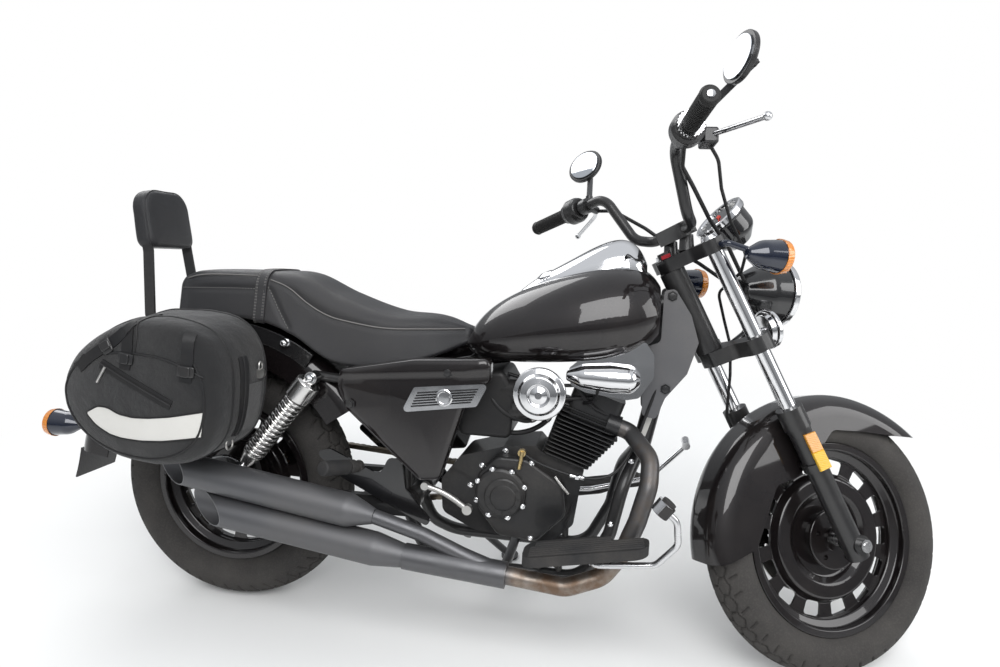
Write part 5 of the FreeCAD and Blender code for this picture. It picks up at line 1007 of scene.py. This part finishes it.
class CRUISER_OT_seat(bpy.types.Operator):
    """Models the padded two-up seat with its piping, seams and stitched strap"""
    bl_idname = "cruiser.seat"
    bl_label = "Seat"

    def execute(self, context):
        setup = context.scene.cruiser_soft
        stations = through(SEAT_ROWS, 150)
        low, high, half_low, half_high, corner = stations[:, 1:].T
        corners = np.stack([np.stack([-half_low, low], 1), np.stack([half_low, low], 1),
                            np.stack([half_high, high], 1), np.stack([-half_high, high], 1)], 1)
        foot = np.full(len(stations), 8.0)
        rings = fillets(corners, np.stack([foot, foot, corner, corner], 1), 8, 16)
        fore = np.broadcast_to(stations[:, None, :1], rings[..., :1].shape)
        points = np.concatenate([fore, rings], 2)
        crown = np.clip((points[..., 2] - (high[:, None] - 30.0)) / 30.0, 0.0, 1.0)
        across = 1.0 - (points[..., 1] / half_low[:, None]) ** 2
        points = points + UP * (3.0 * crown * across)[..., None]
        ends = [self.closed_end(points[0], -1), self.closed_end(points[-1], 1)]
        points = np.concatenate([ends[0][::-1], points, ends[1]])
        plain = Form().grid(points, close_v=True, caps=True)
        skin = Skin(plain)
        lines = []
        for side in (-1, 1):
            for rows in (RIDER_PIPING, PASSENGER_PIPING, PASSENGER_SEAM, DOWN_SEAM):
                lines.append(skin.beside(line(rows, 60), side, away=BESIDE_SEAT)[0])
        normals = grid_normals(points)
        sunk = near(points, lines, 7.0) * setup.crease * 1000.0
        soft = 0.9 * ripples(points, 120.0, 4) * np.clip((points[..., 2] - 700.0) / 60.0, 0.0, 1.0)
        points = points + normals * (soft - sunk)[..., None]
        body = Form().grid(points, close_v=True, caps=True)
        made = body.make("seat_cushion", "seat_vinyl", sharp=50.0)
        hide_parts("seat")
        self.seams(Skin(body), lines)
        return {"FINISHED"}

    def closed_end(self, ring, way):
        """Three rings that draw an end of the seat in to a rounded tip."""
        middle = ring.mean(0)
        steps = ((0.93, 5.0), (0.72, 10.0), (0.35, 12.0))
        return np.stack([middle + (ring - middle) * share + AHEAD * way * reach for share, reach in steps])

    def seams(self, skin, lines):
        """Piping and stitches along the seams, and the stitched strap between the two places."""
        piping, thread, strap = Form(), Form(), Form()
        for side, (rider, passenger, band, down) in ((-1, lines[:4]), (1, lines[4:])):
            for path in (rider, passenger):
                piping.tube(path + 0.8 * UP, 1.5, 8, side * LEFT)
            for path in (band, down):
                thread.stitches(path + side * LEFT * 1.4, 7.0, 5.0, 0.9, side * LEFT)
        angle = np.radians(np.linspace(-112.0, 112.0, 70))
        way = np.stack([np.zeros(70), np.sin(angle), np.cos(angle)], 1)
        start = SEAT_STRAP + way * BESIDE
        path, normals = skin.under(start, -way, 0.4)
        strap.band(path, normals, 30.0, 3.4)
        for offset in (-11.5, -8.5, 8.5, 11.5):
            hint = LEFT * 0.3 + UP * 0.9 + AHEAD * 0.2
            thread.stitches(path + AHEAD * offset + normals * 3.4, 7.0, 4.6, 0.8, hint)
        piping.make("seat_piping", "thread_grey")
        thread.make("seat_stitching", "thread_grey")
        strap.make("seat_strap", "seat_vinyl", sharp=30.0)


class CRUISER_OT_backrest(bpy.types.Operator):
    """Models the puffed backrest pad with its welt"""
    bl_idname = "cruiser.backrest"
    bl_label = "Backrest pad"

    def execute(self, context):
        depth, wide, tall, edge = 24.0, 88.0, 72.0, 15.0
        turns = np.linspace(0.0, math.pi / 2, 7)
        rolled = [(edge * (1 - math.sin(turn)), -depth + edge * (1 - math.cos(turn))) for turn in turns]
        rings = [(0.985, -depth - 1.0), (0.7, -depth - 1.0), (0.4, -depth - 0.5)]
        rings += [(inset / tall, level) for inset, level in rolled]
        rings += [(inset / tall, -level) for inset, level in rolled[::-1]]
        rings += [(0.4, depth + 3.0), (0.7, depth + 4.5), (0.985, depth + 5.0)]
        drawn, level = np.array(rings).T
        corners = np.array([(-wide, -tall), (wide, -tall), (wide, tall), (-wide, tall)])
        corners = corners[None] * (1.0 - drawn)[:, None, None]
        radii = (1.0 - drawn)[:, None] * np.array([22.0, 22.0, 50.0, 50.0])
        outline = fillets(corners, radii, 8, 14)
        tilt = math.radians(9.0)
        fore = np.array([math.cos(tilt), 0.0, math.sin(tilt)])
        rise = np.array([-math.sin(tilt), 0.0, math.cos(tilt)])
        points = BACKREST + level[:, None, None] * fore
        points = points + outline[..., :1] * LEFT + outline[..., 1:] * rise
        points = points + grid_normals(points) * (0.9 * ripples(points, 70.0, 9))[..., None]
        pad = Form().grid(points, close_v=True, caps=True)
        made = pad.make("backrest_cushion", "seat_vinyl", sharp=60.0)
        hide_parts("backrest_pad")
        welt, ring = Form(), points[-8]
        middle = ring.mean(0)
        welt.tube(spaced(middle + (ring - middle) * 1.004, 90, True), 1.6, 8, fore, True)
        welt.make("backrest_welt", "seat_vinyl")
        return {"FINISHED"}


class CRUISER_OT_covers(bpy.types.Operator):
    """Models the crowned side covers with their pressed step"""
    bl_idname = "cruiser.covers"
    bl_label = "Side covers"

    def execute(self, context):
        rows = np.array(COVER_CORNERS, float)[None]
        outline = fillets(rows[..., :2], rows[..., 2], 7, 9)[0]
        covers = Form()
        for side in (-1, 1):
            covers.grid(self.panel(outline, side), close_v=True, caps=True)
        made = covers.make("side_cover_panels", "body_paint", sharp=60.0)
        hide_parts("side_covers")
        return {"FINISHED"}

    def panel(self, outline, side):
        """Grid [depth, outline]: the outline drawn in over a rolled edge, the face crowned and stepped.

        With q the share left of the outline's size, the face lies 158 + 7 (1 - q q) mm from the middle
        plane, and below the line from (322, 622) to (640, 652) it drops by 5 mm over a soft edge.
        """
        middle = np.array([505.0, 575.0])
        table = [(1.0, 126.0), (1.0, 146.0), (0.996, 150.0), (0.985, 153.5), (0.968, 156.0), (0.945, 157.4)]
        table += [(share, 158.0 + 7.0 * (1 - share * share)) for share in np.linspace(0.91, 0.06, 22)]
        share, depth = np.array(table).T[:, :, None]
        flat = middle + (outline - middle) * share[..., None]
        x, z = flat[..., 0], flat[..., 1]
        fall = 1.0 / (1.0 + np.exp((z - 622.0 - 0.094 * (x - 322.0)) / 3.0))
        out = np.where(depth < 155.0, depth, depth - 5.0 * fall)
        return np.stack([x, side * out, z], -1)


class CRUISER_OT_bags(bpy.types.Operator):
    """Models both soft side bags with their piping, zips, straps, band, pocket, ring and padlock"""
    bl_idname = "cruiser.bags"
    bl_label = "Saddlebags"

    def execute(self, context):
        setup = context.scene.cruiser_soft
        for side, name in ((-1, "right"), (1, "left")):
            points = self.shell(side, setup)
            body = Form().grid(points, close_v=True, caps=True)
            made = body.make("bag_" + name, "bag_textile", sharp=55.0)
            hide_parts("saddlebag_" + name)
            self.trim(Skin(body), points, side, name)
        return {"FINISHED"}

    def shell(self, side, setup):
        """Grid [depth, outline]: with s a ring's share and d how far it is drawn in, its outline is
        (1 - s) inner + s outer, scaled by (1 - d) (1 + 0.02 sin(pi s)) about its middle.
        """
        inner, outer = softened(BAG_INNER, 13.0), softened(BAG_OUTER, 14.0)
        share, depth, drawn = np.array(BAG_RINGS).T[:, :, None, None]
        outline = (1 - share) * inner + share * outer
        middle = outline.mean(1, keepdims=True)
        bulge = 1.0 + 0.02 * np.sin(np.pi * np.clip(share, 0, 1))
        outline = middle + (outline - middle) * (1 - drawn) * bulge
        out = np.broadcast_to(depth * side, outline[..., :1].shape)
        points = np.concatenate([outline[..., :1], out, outline[..., 1:]], 2)
        height = setup.folds * 1000.0
        fold = height * ripples(points, 95.0, 21 + side)
        fine = 0.3 * height * ripples(points, 34.0, 5)
        return points + grid_normals(points) * (fold + fine)[..., None]

    def trim(self, skin, points, side, name):
        """The piping, seams, zips, straps, band and fittings, laid on the bag's finished face."""
        black, cord, band, metal, pocket, clips = (Form() for _ in range(6))
        out = side * LEFT

        def lay(rows, count, lift, rounds=3):
            return skin.beside(line(rows, count, rounds), side, lift, BESIDE_BAG)

        for row, radius in ((5, 2.6), (15, 2.4)):
            cord.tube(spaced(points[row], 150, True), radius, 8, out, True)
        for rows in BAG_SEAMS:
            cord.tube(lay(rows, 90, 0.4)[0], 2.6, 8, out)
        self.zip(black, cord, *lay(BAG_ZIP, 40, 0.2), 20.0, out)
        metal.tube(lay(BAG_ZIP_PULL, 8, 3.0)[0], 3.0, 8, out)
        upper, lower = (at_side(line(rows, 30, 1), side * BESIDE_BAG) for rows in (BAND_UPPER, BAND_LOWER))
        share = np.linspace(0.0, 1.0, 7)[None, :, None]
        patch(band, skin, upper[:, None] * (1 - share) + lower[:, None] * share, -out, 1.3)
        edge = skin.under(np.concatenate([upper, lower[::-1]]), -out, 1.2)[0]
        cord.tube(spaced(edge, 120, True), 1.6, 6, out, True)
        straps = [(LONG_STRAP, 30, 24.0, 2.6, 15, 34.0, 24.0)]
        straps += [(rows, 24, 25.0, 2.4, 18, 36.0, 22.0) for rows in SHORT_STRAPS]
        for rows, count, width, thick, at, wide, tall in straps:
            path, normals = lay(rows, count, 0.4)
            black.band(path, normals, width, thick)
            self.buckle(clips, path[at], normals[at], path[at + 1] - path[at], wide, tall)
        self.front_face(skin, side, black, cord, metal, pocket)
        black.make("bag_straps_" + name, "cable_black", sharp=30.0)
        cord.make("bag_piping_" + name, "cable_black")
        band.make("bag_band_" + name, "reflective_white", sharp=30.0)
        metal.make("bag_buckles_" + name, "bare_alloy", sharp=30.0)
        clips.make("bag_clips_" + name, "lever_black", sharp=30.0)
        pocket.make("bag_pocket_" + name, "pocket_cloth", sharp=40.0)

    def zip(self, black, cord, path, normals, width, hint):
        """A zip: its tape, and the row of teeth as one round bead."""
        black.band(path, normals, width, 1.8)
        cord.tube(path + normals * 2.4, 2.2, 8, hint)

    def buckle(self, form, spot, normal, along, wide, tall):
        """A moulded clip that lies on a strap, with a raised tongue."""
        along = unit(along)
        across = np.cross(along, normal)
        square = np.array([(-1, -1), (1, -1), (1, 1), (-1, 1)], float)
        for share, lift in ((1.0, 1.6), (0.55, 5.4)):
            ring = fillets([square * (wide / 2 * share, tall / 2)], 4.0, 4, 3)[0]
            outline = spot + normal * lift + ring[:, :1] * across + ring[:, 1:] * along
            form.slab(outline, normal, 3.8, 0.12)

    def front_face(self, skin, side, black, cord, metal, pocket):
        """The bag's forward face: a double zip, its padlock, the ring and the flat pocket."""
        fore, seam = 330.0, side * 250.0
        path = line([(fore, seam, 668), (fore, seam, 574), (fore, seam, 492)], 30)
        self.zip(black, cord, *skin.under(path, -AHEAD, 0.2), 24.0, AHEAD)
        across, share = side * np.linspace(196, 238, 9)[:, None], np.linspace(0.0, 1.0, 12)
        level = 606.0 * (1 - share) + 500.0 * share
        pad = np.stack(np.broadcast_arrays(fore, across, level), -1)
        patch(pocket, skin, pad, -AHEAD, 2.4)
        spot = skin.under([[fore, side * 206, 640]], -AHEAD, 6.0)[0][0]
        metal.turn([(-5, 0), (-5, 11), (5, 11), (5, 0)], spot - 14 * UP, LEFT, 20)
        loop = spot + np.array([(0, -7, -6), (0, -7, 8), (0, 0, 14), (0, 7, 8), (0, 7, -6)], float)
        metal.tube(line(loop, 20), 2.0, 8, AHEAD)
        ring = skin.under([[fore, seam, 474]], -AHEAD, 4.0)[0][0]
        turn = full_turn(28)[:, None]
        metal.tube(ring + 13 * np.cos(turn) * LEFT + 13 * np.sin(turn) * UP, 2.0, 8, AHEAD, True)


class CRUISER_OT_lamps(bpy.types.Operator):
    """Adds the lamps' lenses, the mirrors' glass and the fork reflectors"""
    bl_idname = "cruiser.lamps"
    bl_label = "Lamps and mirrors"

    def execute(self, context):
        front, rear, glass, mirror = Form(), Form(), Form(), Form()
        for side in (-1, 1):
            front.turn(self.lens(94.0, 36.0), FRONT_INDICATOR * (1, side, 1), AHEAD, 40)
            rear.turn(self.lens(86.0, 32.0), REAR_INDICATOR * (1, side, 1), -AHEAD, 40)
        front.make("front_indicator_lenses", "amber_lens", FORK)
        rear.make("rear_indicator_lenses", "amber_lens")
        rows = [(12.5, 0), (12.5, 60.0), (15.5, 61.0), (16.5, 57.0), (20.0, 42.0), (23.5, 24.0), (25.2, 0)]
        glass.turn(rows, HEADLIGHT, AHEAD, 48)
        glass.make("headlight_glass", "clear_lens", FORK, sharp=30.0)
        rows = [(-3, 0), (-3, 41), (2.2, 42), (2.8, 41), (3.0, 0)]
        for centre, way in MIRRORS:
            mirror.turn(rows, centre + unit(way), way, 48)
        mirror.make("mirror_glass", "mirror_glass", FORK, sharp=30.0)
        halves = (("upper", (0.5, 1.0), "orange_lens"), ("lower", (0.0, 0.5), "yellow_lens"))
        for name, share, colour in halves:
            plate = Form()
            for side in (-1, 1):
                top = at_side(REFLECTOR_TOP, side * REFLECTOR_OUT)
                foot = at_side(REFLECTOR_FOOT, side * REFLECTOR_OUT)
                low, high = foot + (top - foot) * share[0], foot + (top - foot) * share[1]
                outline = np.stack([low[0], low[1], high[1], high[0]])
                plate.slab(outline - side * LEFT * 2, side * LEFT, 6.0, 0.06)
            plate.make("fork_reflectors_" + name, colour, FORK, sharp=20.0)
        self.tail()
        return {"FINISHED"}

    def lens(self, length, radius):
        """Rows of a bullet lamp's lens, the lamp's length ahead: a lip, the barrel, the rounded glass."""
        return [(length * 0.80, radius - 2), (length * 0.80, radius + 2.2), (length * 0.84, radius + 2.2),
                (length * 0.97, radius - 0.2), (length + 0.6, radius - 5.5), (length + 2.5, radius * 0.5),
                (length + 3, 0)]

    def tail(self):
        """The bright ring round the tail lamp."""
        rows = [(30, 40), (30, 44.5), (38, 44.8), (39, 42.5), (39, 40)]
        trim = Form().turn(rows, REAR_AXLE + spoke(157.0) * 410.0, (-1.0, 0.0, 0.15), 40)
        trim.make("tail_lamp_ring", "bright_chrome")


class CRUISER_OT_instruments(bpy.types.Operator):
    """Adds the speedometer's ring, dial, marks and needle, and the bare tag near the lock"""
    bl_idname = "cruiser.instruments"
    bl_label = "Instruments"

    def execute(self, context):
        face, out = SPEEDOMETER, unit(SPEEDOMETER_AXIS)
        first, second = square_axes(out)
        ring, dial, marks, needle, tag = (Form() for _ in range(5))
        rows = [(-8, 60), (-8, 63.5), (4, 63.8), (6.5, 60), (5.5, 52.5), (1, 51.5), (1, 60)]
        ring.turn(rows, face, out, 56)
        dial.turn([(-2, 0), (-2, 51.5), (1.0, 51.5), (1.2, 0)], face, out, 56)
        angles = np.radians(np.linspace(-135.0, 135.0, 29))
        ways = ways_round(angles, out)
        spots = face + out * 1.6 + 43.0 * ways
        turns = np.stack([ways, np.cross(out, ways), np.broadcast_to(out, ways.shape)], -1)
        long = np.arange(29) % 2 == 0
        marks.copies(grain(10.0, 1.0), spots[long], turns[long])
        marks.copies(grain(5.0, 0.7), spots[~long] + ways[~long] * 2.5, turns[~long])
        way = unit(-0.72 * second - 0.70 * first)
        reach = np.array([-10.0, 15.0, 38.0])[:, None]
        needle.tube(face + out * 3 + way * reach, np.array([1.6, 1.3, 0.6]), 8, out)
        needle.turn([(1.5, 0), (1.5, 6), (4.5, 5), (5, 0)], face, out, 20)
        tag.slab(at_side(LOCK_TAG, -25), -LEFT, 2.0, 0.05)
        tag.make("lock_tag", "tag_red", FORK, sharp=20.0)
        ring.make("speedometer_ring", "bright_chrome", FORK, sharp=30.0)
        dial.make("speedometer_dial", "gloss_black", FORK, sharp=30.0)
        marks.make("speedometer_marks", "dial_white", FORK)
        needle.make("speedometer_needle", "needle_red", FORK)
        return {"FINISHED"}


class CRUISER_OT_engine(bpy.types.Operator):
    """Adds the engine's screws, round cover plate, ribs, arms, cable, hoses, carburettor and wires"""
    bl_idname = "cruiser.engine"
    bl_label = "Engine trim"

    def execute(self, context):
        skin = Skin(nodes=("crankcase", "engine_cylinder", "frame"))
        screws, cover = Form(), Form()
        right = CASE_SCREWS + self.circle(CLUTCH_COVER, 58, range(20, 380, 45))
        left = self.circle(GENERATOR_COVER, 60, range(0, 360, 60))
        for side, spots in ((-1, right), (1, left)):
            hits = skin.beside(spots, side)[0]
            for hit in hits[np.abs(side * hits[:, 1] - 140.0) < 110.0]:
                screws.turn(SCREW_HEAD, hit - side * LEFT * SUNK, side * LEFT, 12)
        screws.make("engine_screws", "bright_chrome", sharp=30.0)
        hit = skin.beside([COVER_PLATE], -1)[0][0]
        rows = [(-6, 0), (-6, 44), (2, 44), (4, 41), (4, 30), (6, 28), (8, 20), (8, 0)]
        cover.turn(rows, hit, -LEFT, 56)
        for turn in range(0, 360, 30):
            foot = hit - LEFT * 3.4
            cover.tube([foot + spoke(turn) * 31.0, foot + spoke(turn) * 41.0], 1.6, 6, LEFT)
        cover.make("clutch_cover_plate", "engine_black", sharp=30.0)
        self.ribs(skin)
        self.arms()
        self.hoses()
        self.carburettor()
        return {"FINISHED"}

    def circle(self, middle, radius, degrees):
        """Side-view spots at the given angles on a circle."""
        return [(middle[0] + radius * math.cos(turn), middle[1] + radius * math.sin(turn))
                for turn in np.radians(degrees)]

    def ribs(self, skin):
        """Parallel cast ribs on the front of the case; one whose rays miss the case is left out."""
        ribs, share = Form(), np.linspace(0, 1, 14)[:, None]
        for step in range(7):
            low = np.array([829.0 + 12 * step, 282.0 + 3.0 * step])
            high = np.array([845.0 + 11 * step, 354.0 - 2.0 * step])
            path = skin.beside(low + (high - low) * share, -1)[0]
            if np.ptp(path[:, 1]) < 20.0 and path[:, 1].min() > -200.0:
                ribs.tube(path, 3.0, 8, LEFT)
        ribs.make("case_ribs", "engine_black")

    def arms(self):
        """The clutch arm with its cable, a small lever, and the arm that turns the rear brake."""
        boss, brass, pale, chrome, cable = (Form() for _ in range(5))
        brass.tube(line([(750, -112, 474), (748, -114, 455), (745, -112, 434)], 12), 4.5, 10, LEFT)
        brass.turn([(-6, 0), (-6, 9), (6, 9), (6, 0)], (749, -106, 470), LEFT, 20)
        pale.tube(line([(827, -112, 424), (842, -114, 406), (859, -112, 387)], 10), 3.2, 10, LEFT)
        cable.tube(line(CLUTCH_CABLE, 90), 3.4, 8, LEFT)
        chrome.tube(line([(860, -101, 426), (892, -100, 423)], 12, 1), 5.2, 12, LEFT)
        chrome.tube(line([(872, -100, 424.5), (880, -100, 424)], 6, 1), 8.0, 6, LEFT)
        front, back = (637, -150, 341), (537, -150, 386)
        boss.turn([(-8, 0), (-8, 11), (8, 11), (8, 0)], front, LEFT, 24)
        boss.turn([(-7, 0), (-7, 9), (7, 9), (7, 0)], back, LEFT, 24)
        boss.tube(line([back, (587, -152, 374), front], 24), 6.5, 12, LEFT)
        brass.make("clutch_arm", "brass")
        pale.make("case_lever", "bare_alloy")
        chrome.make("cable_adjuster", "bright_chrome", sharp=30.0)
        cable.make("clutch_cable", "cable_black")
        boss.make("brake_arm_boss", "bare_alloy")

    def carburettor(self):
        """The carburettor between the air cover and the head, with its bowl, stubs and wiring."""
        body, wires = Form(), Form()
        rows = [(-34, 0), (-34, 21), (-22, 23), (-22, 27), (20, 27), (20, 22), (36, 21), (36, 0)]
        body.turn(rows, (742, -62, 566), unit((0.80, 0.1, 0.42)), 28)
        body.turn([(-30, 0), (-30, 20), (26, 24), (30, 20), (34, 0)], (738, -62, 566), UP, 28)
        body.turn([(0, 0), (0, 30), (10, 33), (58, 30), (70, 22), (70, 0)], (787, -66, 619), -LEFT, 36)
        lead = [(905, -118, 650), (912, -112, 622), (900, -86, 596), (880, -58, 585)]
        wires.tube(line(lead, 40), 4.0, 8, LEFT)
        for start, end, sag in WIRES:
            middle = np.add(start, end) / 2 - UP * sag - LEFT * 8
            wires.tube(line([start, middle, end], 40), 4.2, 8, LEFT)
        body.make("carburettor", "engine_black", sharp=30.0)
        wires.make("engine_wiring", "cable_black")

    def hoses(self):
        """Two breather hoses with a clip near each end."""
        hoses, clips = Form(), Form()
        for path in (line(LOW_HOSE, 70), line(HIGH_HOSE, 60)):
            hoses.tube(path, 6.0, 10, LEFT)
            clips.tube(path[4:8], 7.2, 12, LEFT)
            clips.tube(path[-9:-5], 7.2, 12, LEFT)
        hoses.make("engine_hoses", "cable_black")
        clips.make("hose_clips", "bare_alloy", sharp=30.0)


class CRUISER_OT_trim(bpy.types.Operator):
    """Adds the nuts, badge lines, screws, filler cap ribs and the bare strip on the frame"""
    bl_idname = "cruiser.trim"
    bl_label = "Chassis trim"

    def execute(self, context):
        nuts, plates, screws, strip, inset = (Form() for _ in range(5))
        dome = [(0, 0), (0, 13), (3, 13), (3, 10), (8, 10), (12, 8.5), (15.5, 5), (17, 0)]
        hexagon = [(0, 0), (0, 12), (2, 12), (2, 8), (7, 8), (7.5, 6), (7.5, 0)]
        skin = Skin(nodes=("fender_rails", "fuel_tank", "side_covers", "side_badges", "neck_plates",
                           "frame", "shock_absorbers"))
        for side in (-1, 1):
            out = side * LEFT
            rails = skin.beside(RAIL_NUTS, side)[0]
            on_rail = (np.abs(rails[:, 1]) > 60.0) & (np.abs(rails[:, 1]) < 190.0)
            shocks = skin.beside(SHOCK_NUTS, side)[0]
            for hit in np.concatenate([rails[on_rail], shocks]):
                nuts.turn(dome, hit - out * SUNK, out, 24)
            hits = skin.beside(PLATE_SCREWS, side)[0]
            for hit in hits[np.abs(np.abs(hits[:, 1]) - 130.0) < 120.0]:
                screws.turn(hexagon, hit - out * SUNK, out, 6)
            self.badge(plates, inset, skin, side)
        outline = at_side(BARE_STRIP, -42)
        outline[:, 1] = skin.under([outline.mean(0) - LEFT * 200], LEFT)[0][0][1] + 1.0
        strip.slab(outline, -LEFT, 2.4, 0.1)
        strip.make("bare_strip", "reflective_white", sharp=20.0)
        nuts.make("acorn_nuts", "bright_chrome", sharp=30.0)
        screws.make("cover_screws", "lever_black", sharp=20.0)
        plates.make("badge_lines", "gloss_black", sharp=20.0)
        inset.make("badge_rounds", "bright_chrome", sharp=30.0)
        self.filler()
        return {"FINISHED"}

    def badge(self, plates, inset, skin, side):
        """Louvre lines along each badge plate and a plain round at its middle."""
        along = np.linspace(0.04, 0.96, 20)[:, None]
        for share in np.linspace(0.14, 0.86, 6):
            ends = BADGE_LOW + (BADGE_HIGH - BADGE_LOW) * share
            spots = skin.beside(ends[0] + (ends[1] - ends[0]) * along, side, 0.2)[0]
            plates.tube(spots, 1.9, 6, side * LEFT)
        rows = [(-1, 0), (-1, 19), (3.0, 19), (4.2, 17), (4.2, 14), (3.2, 12.5), (3.6, 0)]
        inset.turn(rows, skin.beside([BADGE_MIDDLE], side)[0][0], side * LEFT, 40)

    def filler(self):
        """Grip flutes round the filler cap."""
        axis = unit(FILLER_AXIS)
        ways = ways_round(full_turn(28), axis, AHEAD)
        turns = np.stack([np.broadcast_to(axis, ways.shape), ways, np.cross(axis, ways)], -1)
        spots = FILLER + axis * 12.0 + ways * FILLER_RADIUS
        Form().copies(grain(14.0, 1.8), spots, turns).make("filler_flutes", "bright_chrome")


class CRUISER_OT_controls(bpy.types.Operator):
    """Adds the grips' ribs and plugs, the toothed flange, the buttons and the foot controls' rubber"""
    bl_idname = "cruiser.controls"
    bl_label = "Controls"

    def execute(self, context):
        ribs, plugs, flange, buttons = (Form() for _ in range(4))
        for side in (-1, 1):
            end, way = GRIP_END * (1, side, 1), unit(GRIP_AXIS * (1, side, 1))
            for step in np.arange(-114.0, -8.0, 6.5):
                rib = [(step - 1.7, 16.0), (step - 1.3, 18.2), (step + 1.3, 18.2), (step + 1.7, 16.0)]
                ribs.turn(rib, end, way, 28)
            plugs.turn([(11, 0), (11, 7.5), (14, 7.0), (15, 4), (15, 0)], end, way, 20)
            back = end - way * 155.0
            rear = unit(np.cross(way, UP))
            rear = rear * (1.0 if rear[0] < 0 else -1.0)
            buttons.turn([(14, 0), (14, 6), (24, 6), (25, 4), (25, 0)], back, rear, 20)
            beside = back + way * 16.0 + UP * 4
            buttons.turn([(14, 0), (14, 5), (22, 5), (23, 3), (23, 0)], beside, rear, 20)
            if side < 0:
                self.flange(flange, end, way)
        ribs.make("grip_ribs", "grip_rubber", FORK)
        plugs.make("grip_plugs", "bright_chrome", FORK)
        flange.make("throttle_flange", "bright_chrome", FORK, sharp=20.0)
        buttons.make("switch_buttons", "needle_red", FORK, sharp=30.0)
        self.boards()
        return {"FINISHED"}

    def flange(self, form, end, way):
        """A flat toothed ring: the outer radius steps by 1.8 mm with the sign of cos(24 angle)."""
        angle = full_turn(144)
        radius = 24.0 + 1.8 * (np.cos(angle * 24) > 0)
        ring = radius[:, None] * ways_round(angle, way)
        rows = np.array([(-126.5, 0.75), (-126.5, 1.0), (-120.0, 1.0), (-120.0, 0.75)])
        reach, size = rows.T[..., None, None]
        form.grid(end + reach * way + size * ring, close_v=True, caps=True)

    def boards(self):
        """Long rubber ribs on both footboards, and the rubber round the brake pedal's pad."""
        ribs, pad = Form(), Form()
        for side in (-1, 1):
            for offset in np.linspace(188.0, 250.0, 7):
                x = np.linspace(*((790.0, 1026.0) if offset > 204 else (800.0, 960.0)), 24)
                rows = np.stack([x, 290.0 + 0.2 * (x - 776.0)], 1)
                ribs.tube(at_side(rows, side * offset), 3.4, 8, UP)
        ribs.make("footboard_ribs", "peg_rubber")
        pad.tube(at_side([(1051.5, 405), (1067.5, 427)], -230), 19.0, 24, LEFT)
        pad.tube(at_side([(1064.5, 423), (1071.5, 432.5)], -230), 15.0, 24, LEFT)
        pad.make("brake_pad_rubber", "peg_rubber", sharp=30.0)


class CRUISER_OT_chain(bpy.types.Operator):
    """Lays the drive chain's link plates beside its band"""
    bl_idname = "cruiser.chain"
    bl_label = "Chain"

    def execute(self, context):
        points = loaded_points("drive_chain")[0]
        middle = 0.5 * (points[:, 1].min() + points[:, 1].max())
        flat = spaced(self.outline(points[:, [0, 2]]), 104, True)
        tangent = unit_rows(np.roll(flat, -1, 0) - np.roll(flat, 1, 0))
        normal = np.stack([-tangent[:, 1], tangent[:, 0]], 1)
        normal *= np.sign((normal * (flat.mean(0) - flat)).sum(1))[:, None]
        spots = at_side(flat + normal * 4.0, middle)
        along = at_side(tangent, 0.0)
        turns = np.stack([along, np.broadcast_to(LEFT, along.shape), at_side(normal, 0.0)], -1)
        links, angle = Form(), full_turn(12)
        cosine = np.cos(angle)
        outline = np.stack([9.4 * np.sign(cosine) * np.abs(cosine) ** 0.6, 4.6 * np.sin(angle)], 1)
        for side in (-1, 1):
            for level, first in ((side * 6.4, 0), (side * 8.4, 1)):
                plate = np.stack([at_side(outline * size, level + thick) for size, thick in
                                  ((0.02, 0.0), (1.0, 0.0), (1.0, side * 1.5), (0.02, side * 1.5))])
                links.copies(plate, spots[first::2], turns[first::2])
        links.make("chain_links", "chain_steel", sharp=30.0)
        return {"FINISHED"}

    def outline(self, flat):
        """The farthest points in a fan of directions, in order round their middle."""
        angle = full_turn(720)
        ways = np.stack([np.cos(angle), np.sin(angle)], 1)
        chosen = flat[np.unique(np.argmax(flat @ ways.T, axis=0))]
        middle = chosen.mean(0)
        return chosen[np.argsort(np.arctan2(chosen[:, 1] - middle[1], chosen[:, 0] - middle[0]))]


GROUPS = (("cruiser_stage", StageSettings), ("cruiser_tyres", TyreSettings), ("cruiser_soft", SoftSettings))
OPERATORS = (CRUISER_OT_stage, CRUISER_OT_finishes, CRUISER_OT_tyres, CRUISER_OT_seat,
             CRUISER_OT_backrest, CRUISER_OT_covers, CRUISER_OT_bags, CRUISER_OT_lamps,
             CRUISER_OT_instruments, CRUISER_OT_engine, CRUISER_OT_trim, CRUISER_OT_controls,
             CRUISER_OT_chain)


class CRUISER_PT_panel(bpy.types.Panel):
    """Lists the pieces in the sidebar"""
    bl_idname = "CRUISER_PT_panel"
    bl_label = "Cruiser"
    bl_space_type = "VIEW_3D"
    bl_region_type = "UI"
    bl_category = "Cruiser"

    def draw(self, context):
        for name, kind in GROUPS:
            box = self.layout.box()
            for key in kind.__annotations__:
                box.prop(getattr(context.scene, name), key)
        for operator in OPERATORS:
            self.layout.operator(operator.bl_idname)


def register():
    """Adds the settings, the operators and the panel."""
    for name, kind in GROUPS:
        bpy.utils.register_class(kind)
        setattr(bpy.types.Scene, name, bpy.props.PointerProperty(type=kind))
    for kind in OPERATORS + (CRUISER_PT_panel,):
        bpy.utils.register_class(kind)


def unregister():
    """Takes them away again."""
    for kind in reversed(OPERATORS + (CRUISER_PT_panel,)):
        bpy.utils.unregister_class(kind)
    for name, kind in reversed(GROUPS):
        delattr(bpy.types.Scene, name)
        bpy.utils.unregister_class(kind)


def main():
    """Dresses the loaded machine."""
    register()
    bpy.context.scene.view_settings.view_transform = "Standard"
    for operator in OPERATORS:
        group, name = operator.bl_idname.split(".")
        if getattr(getattr(bpy.ops, group), name)() != {"FINISHED"}:
            raise RuntimeError("could not finish " + operator.bl_label)


if __name__ == "__main__":
    main()
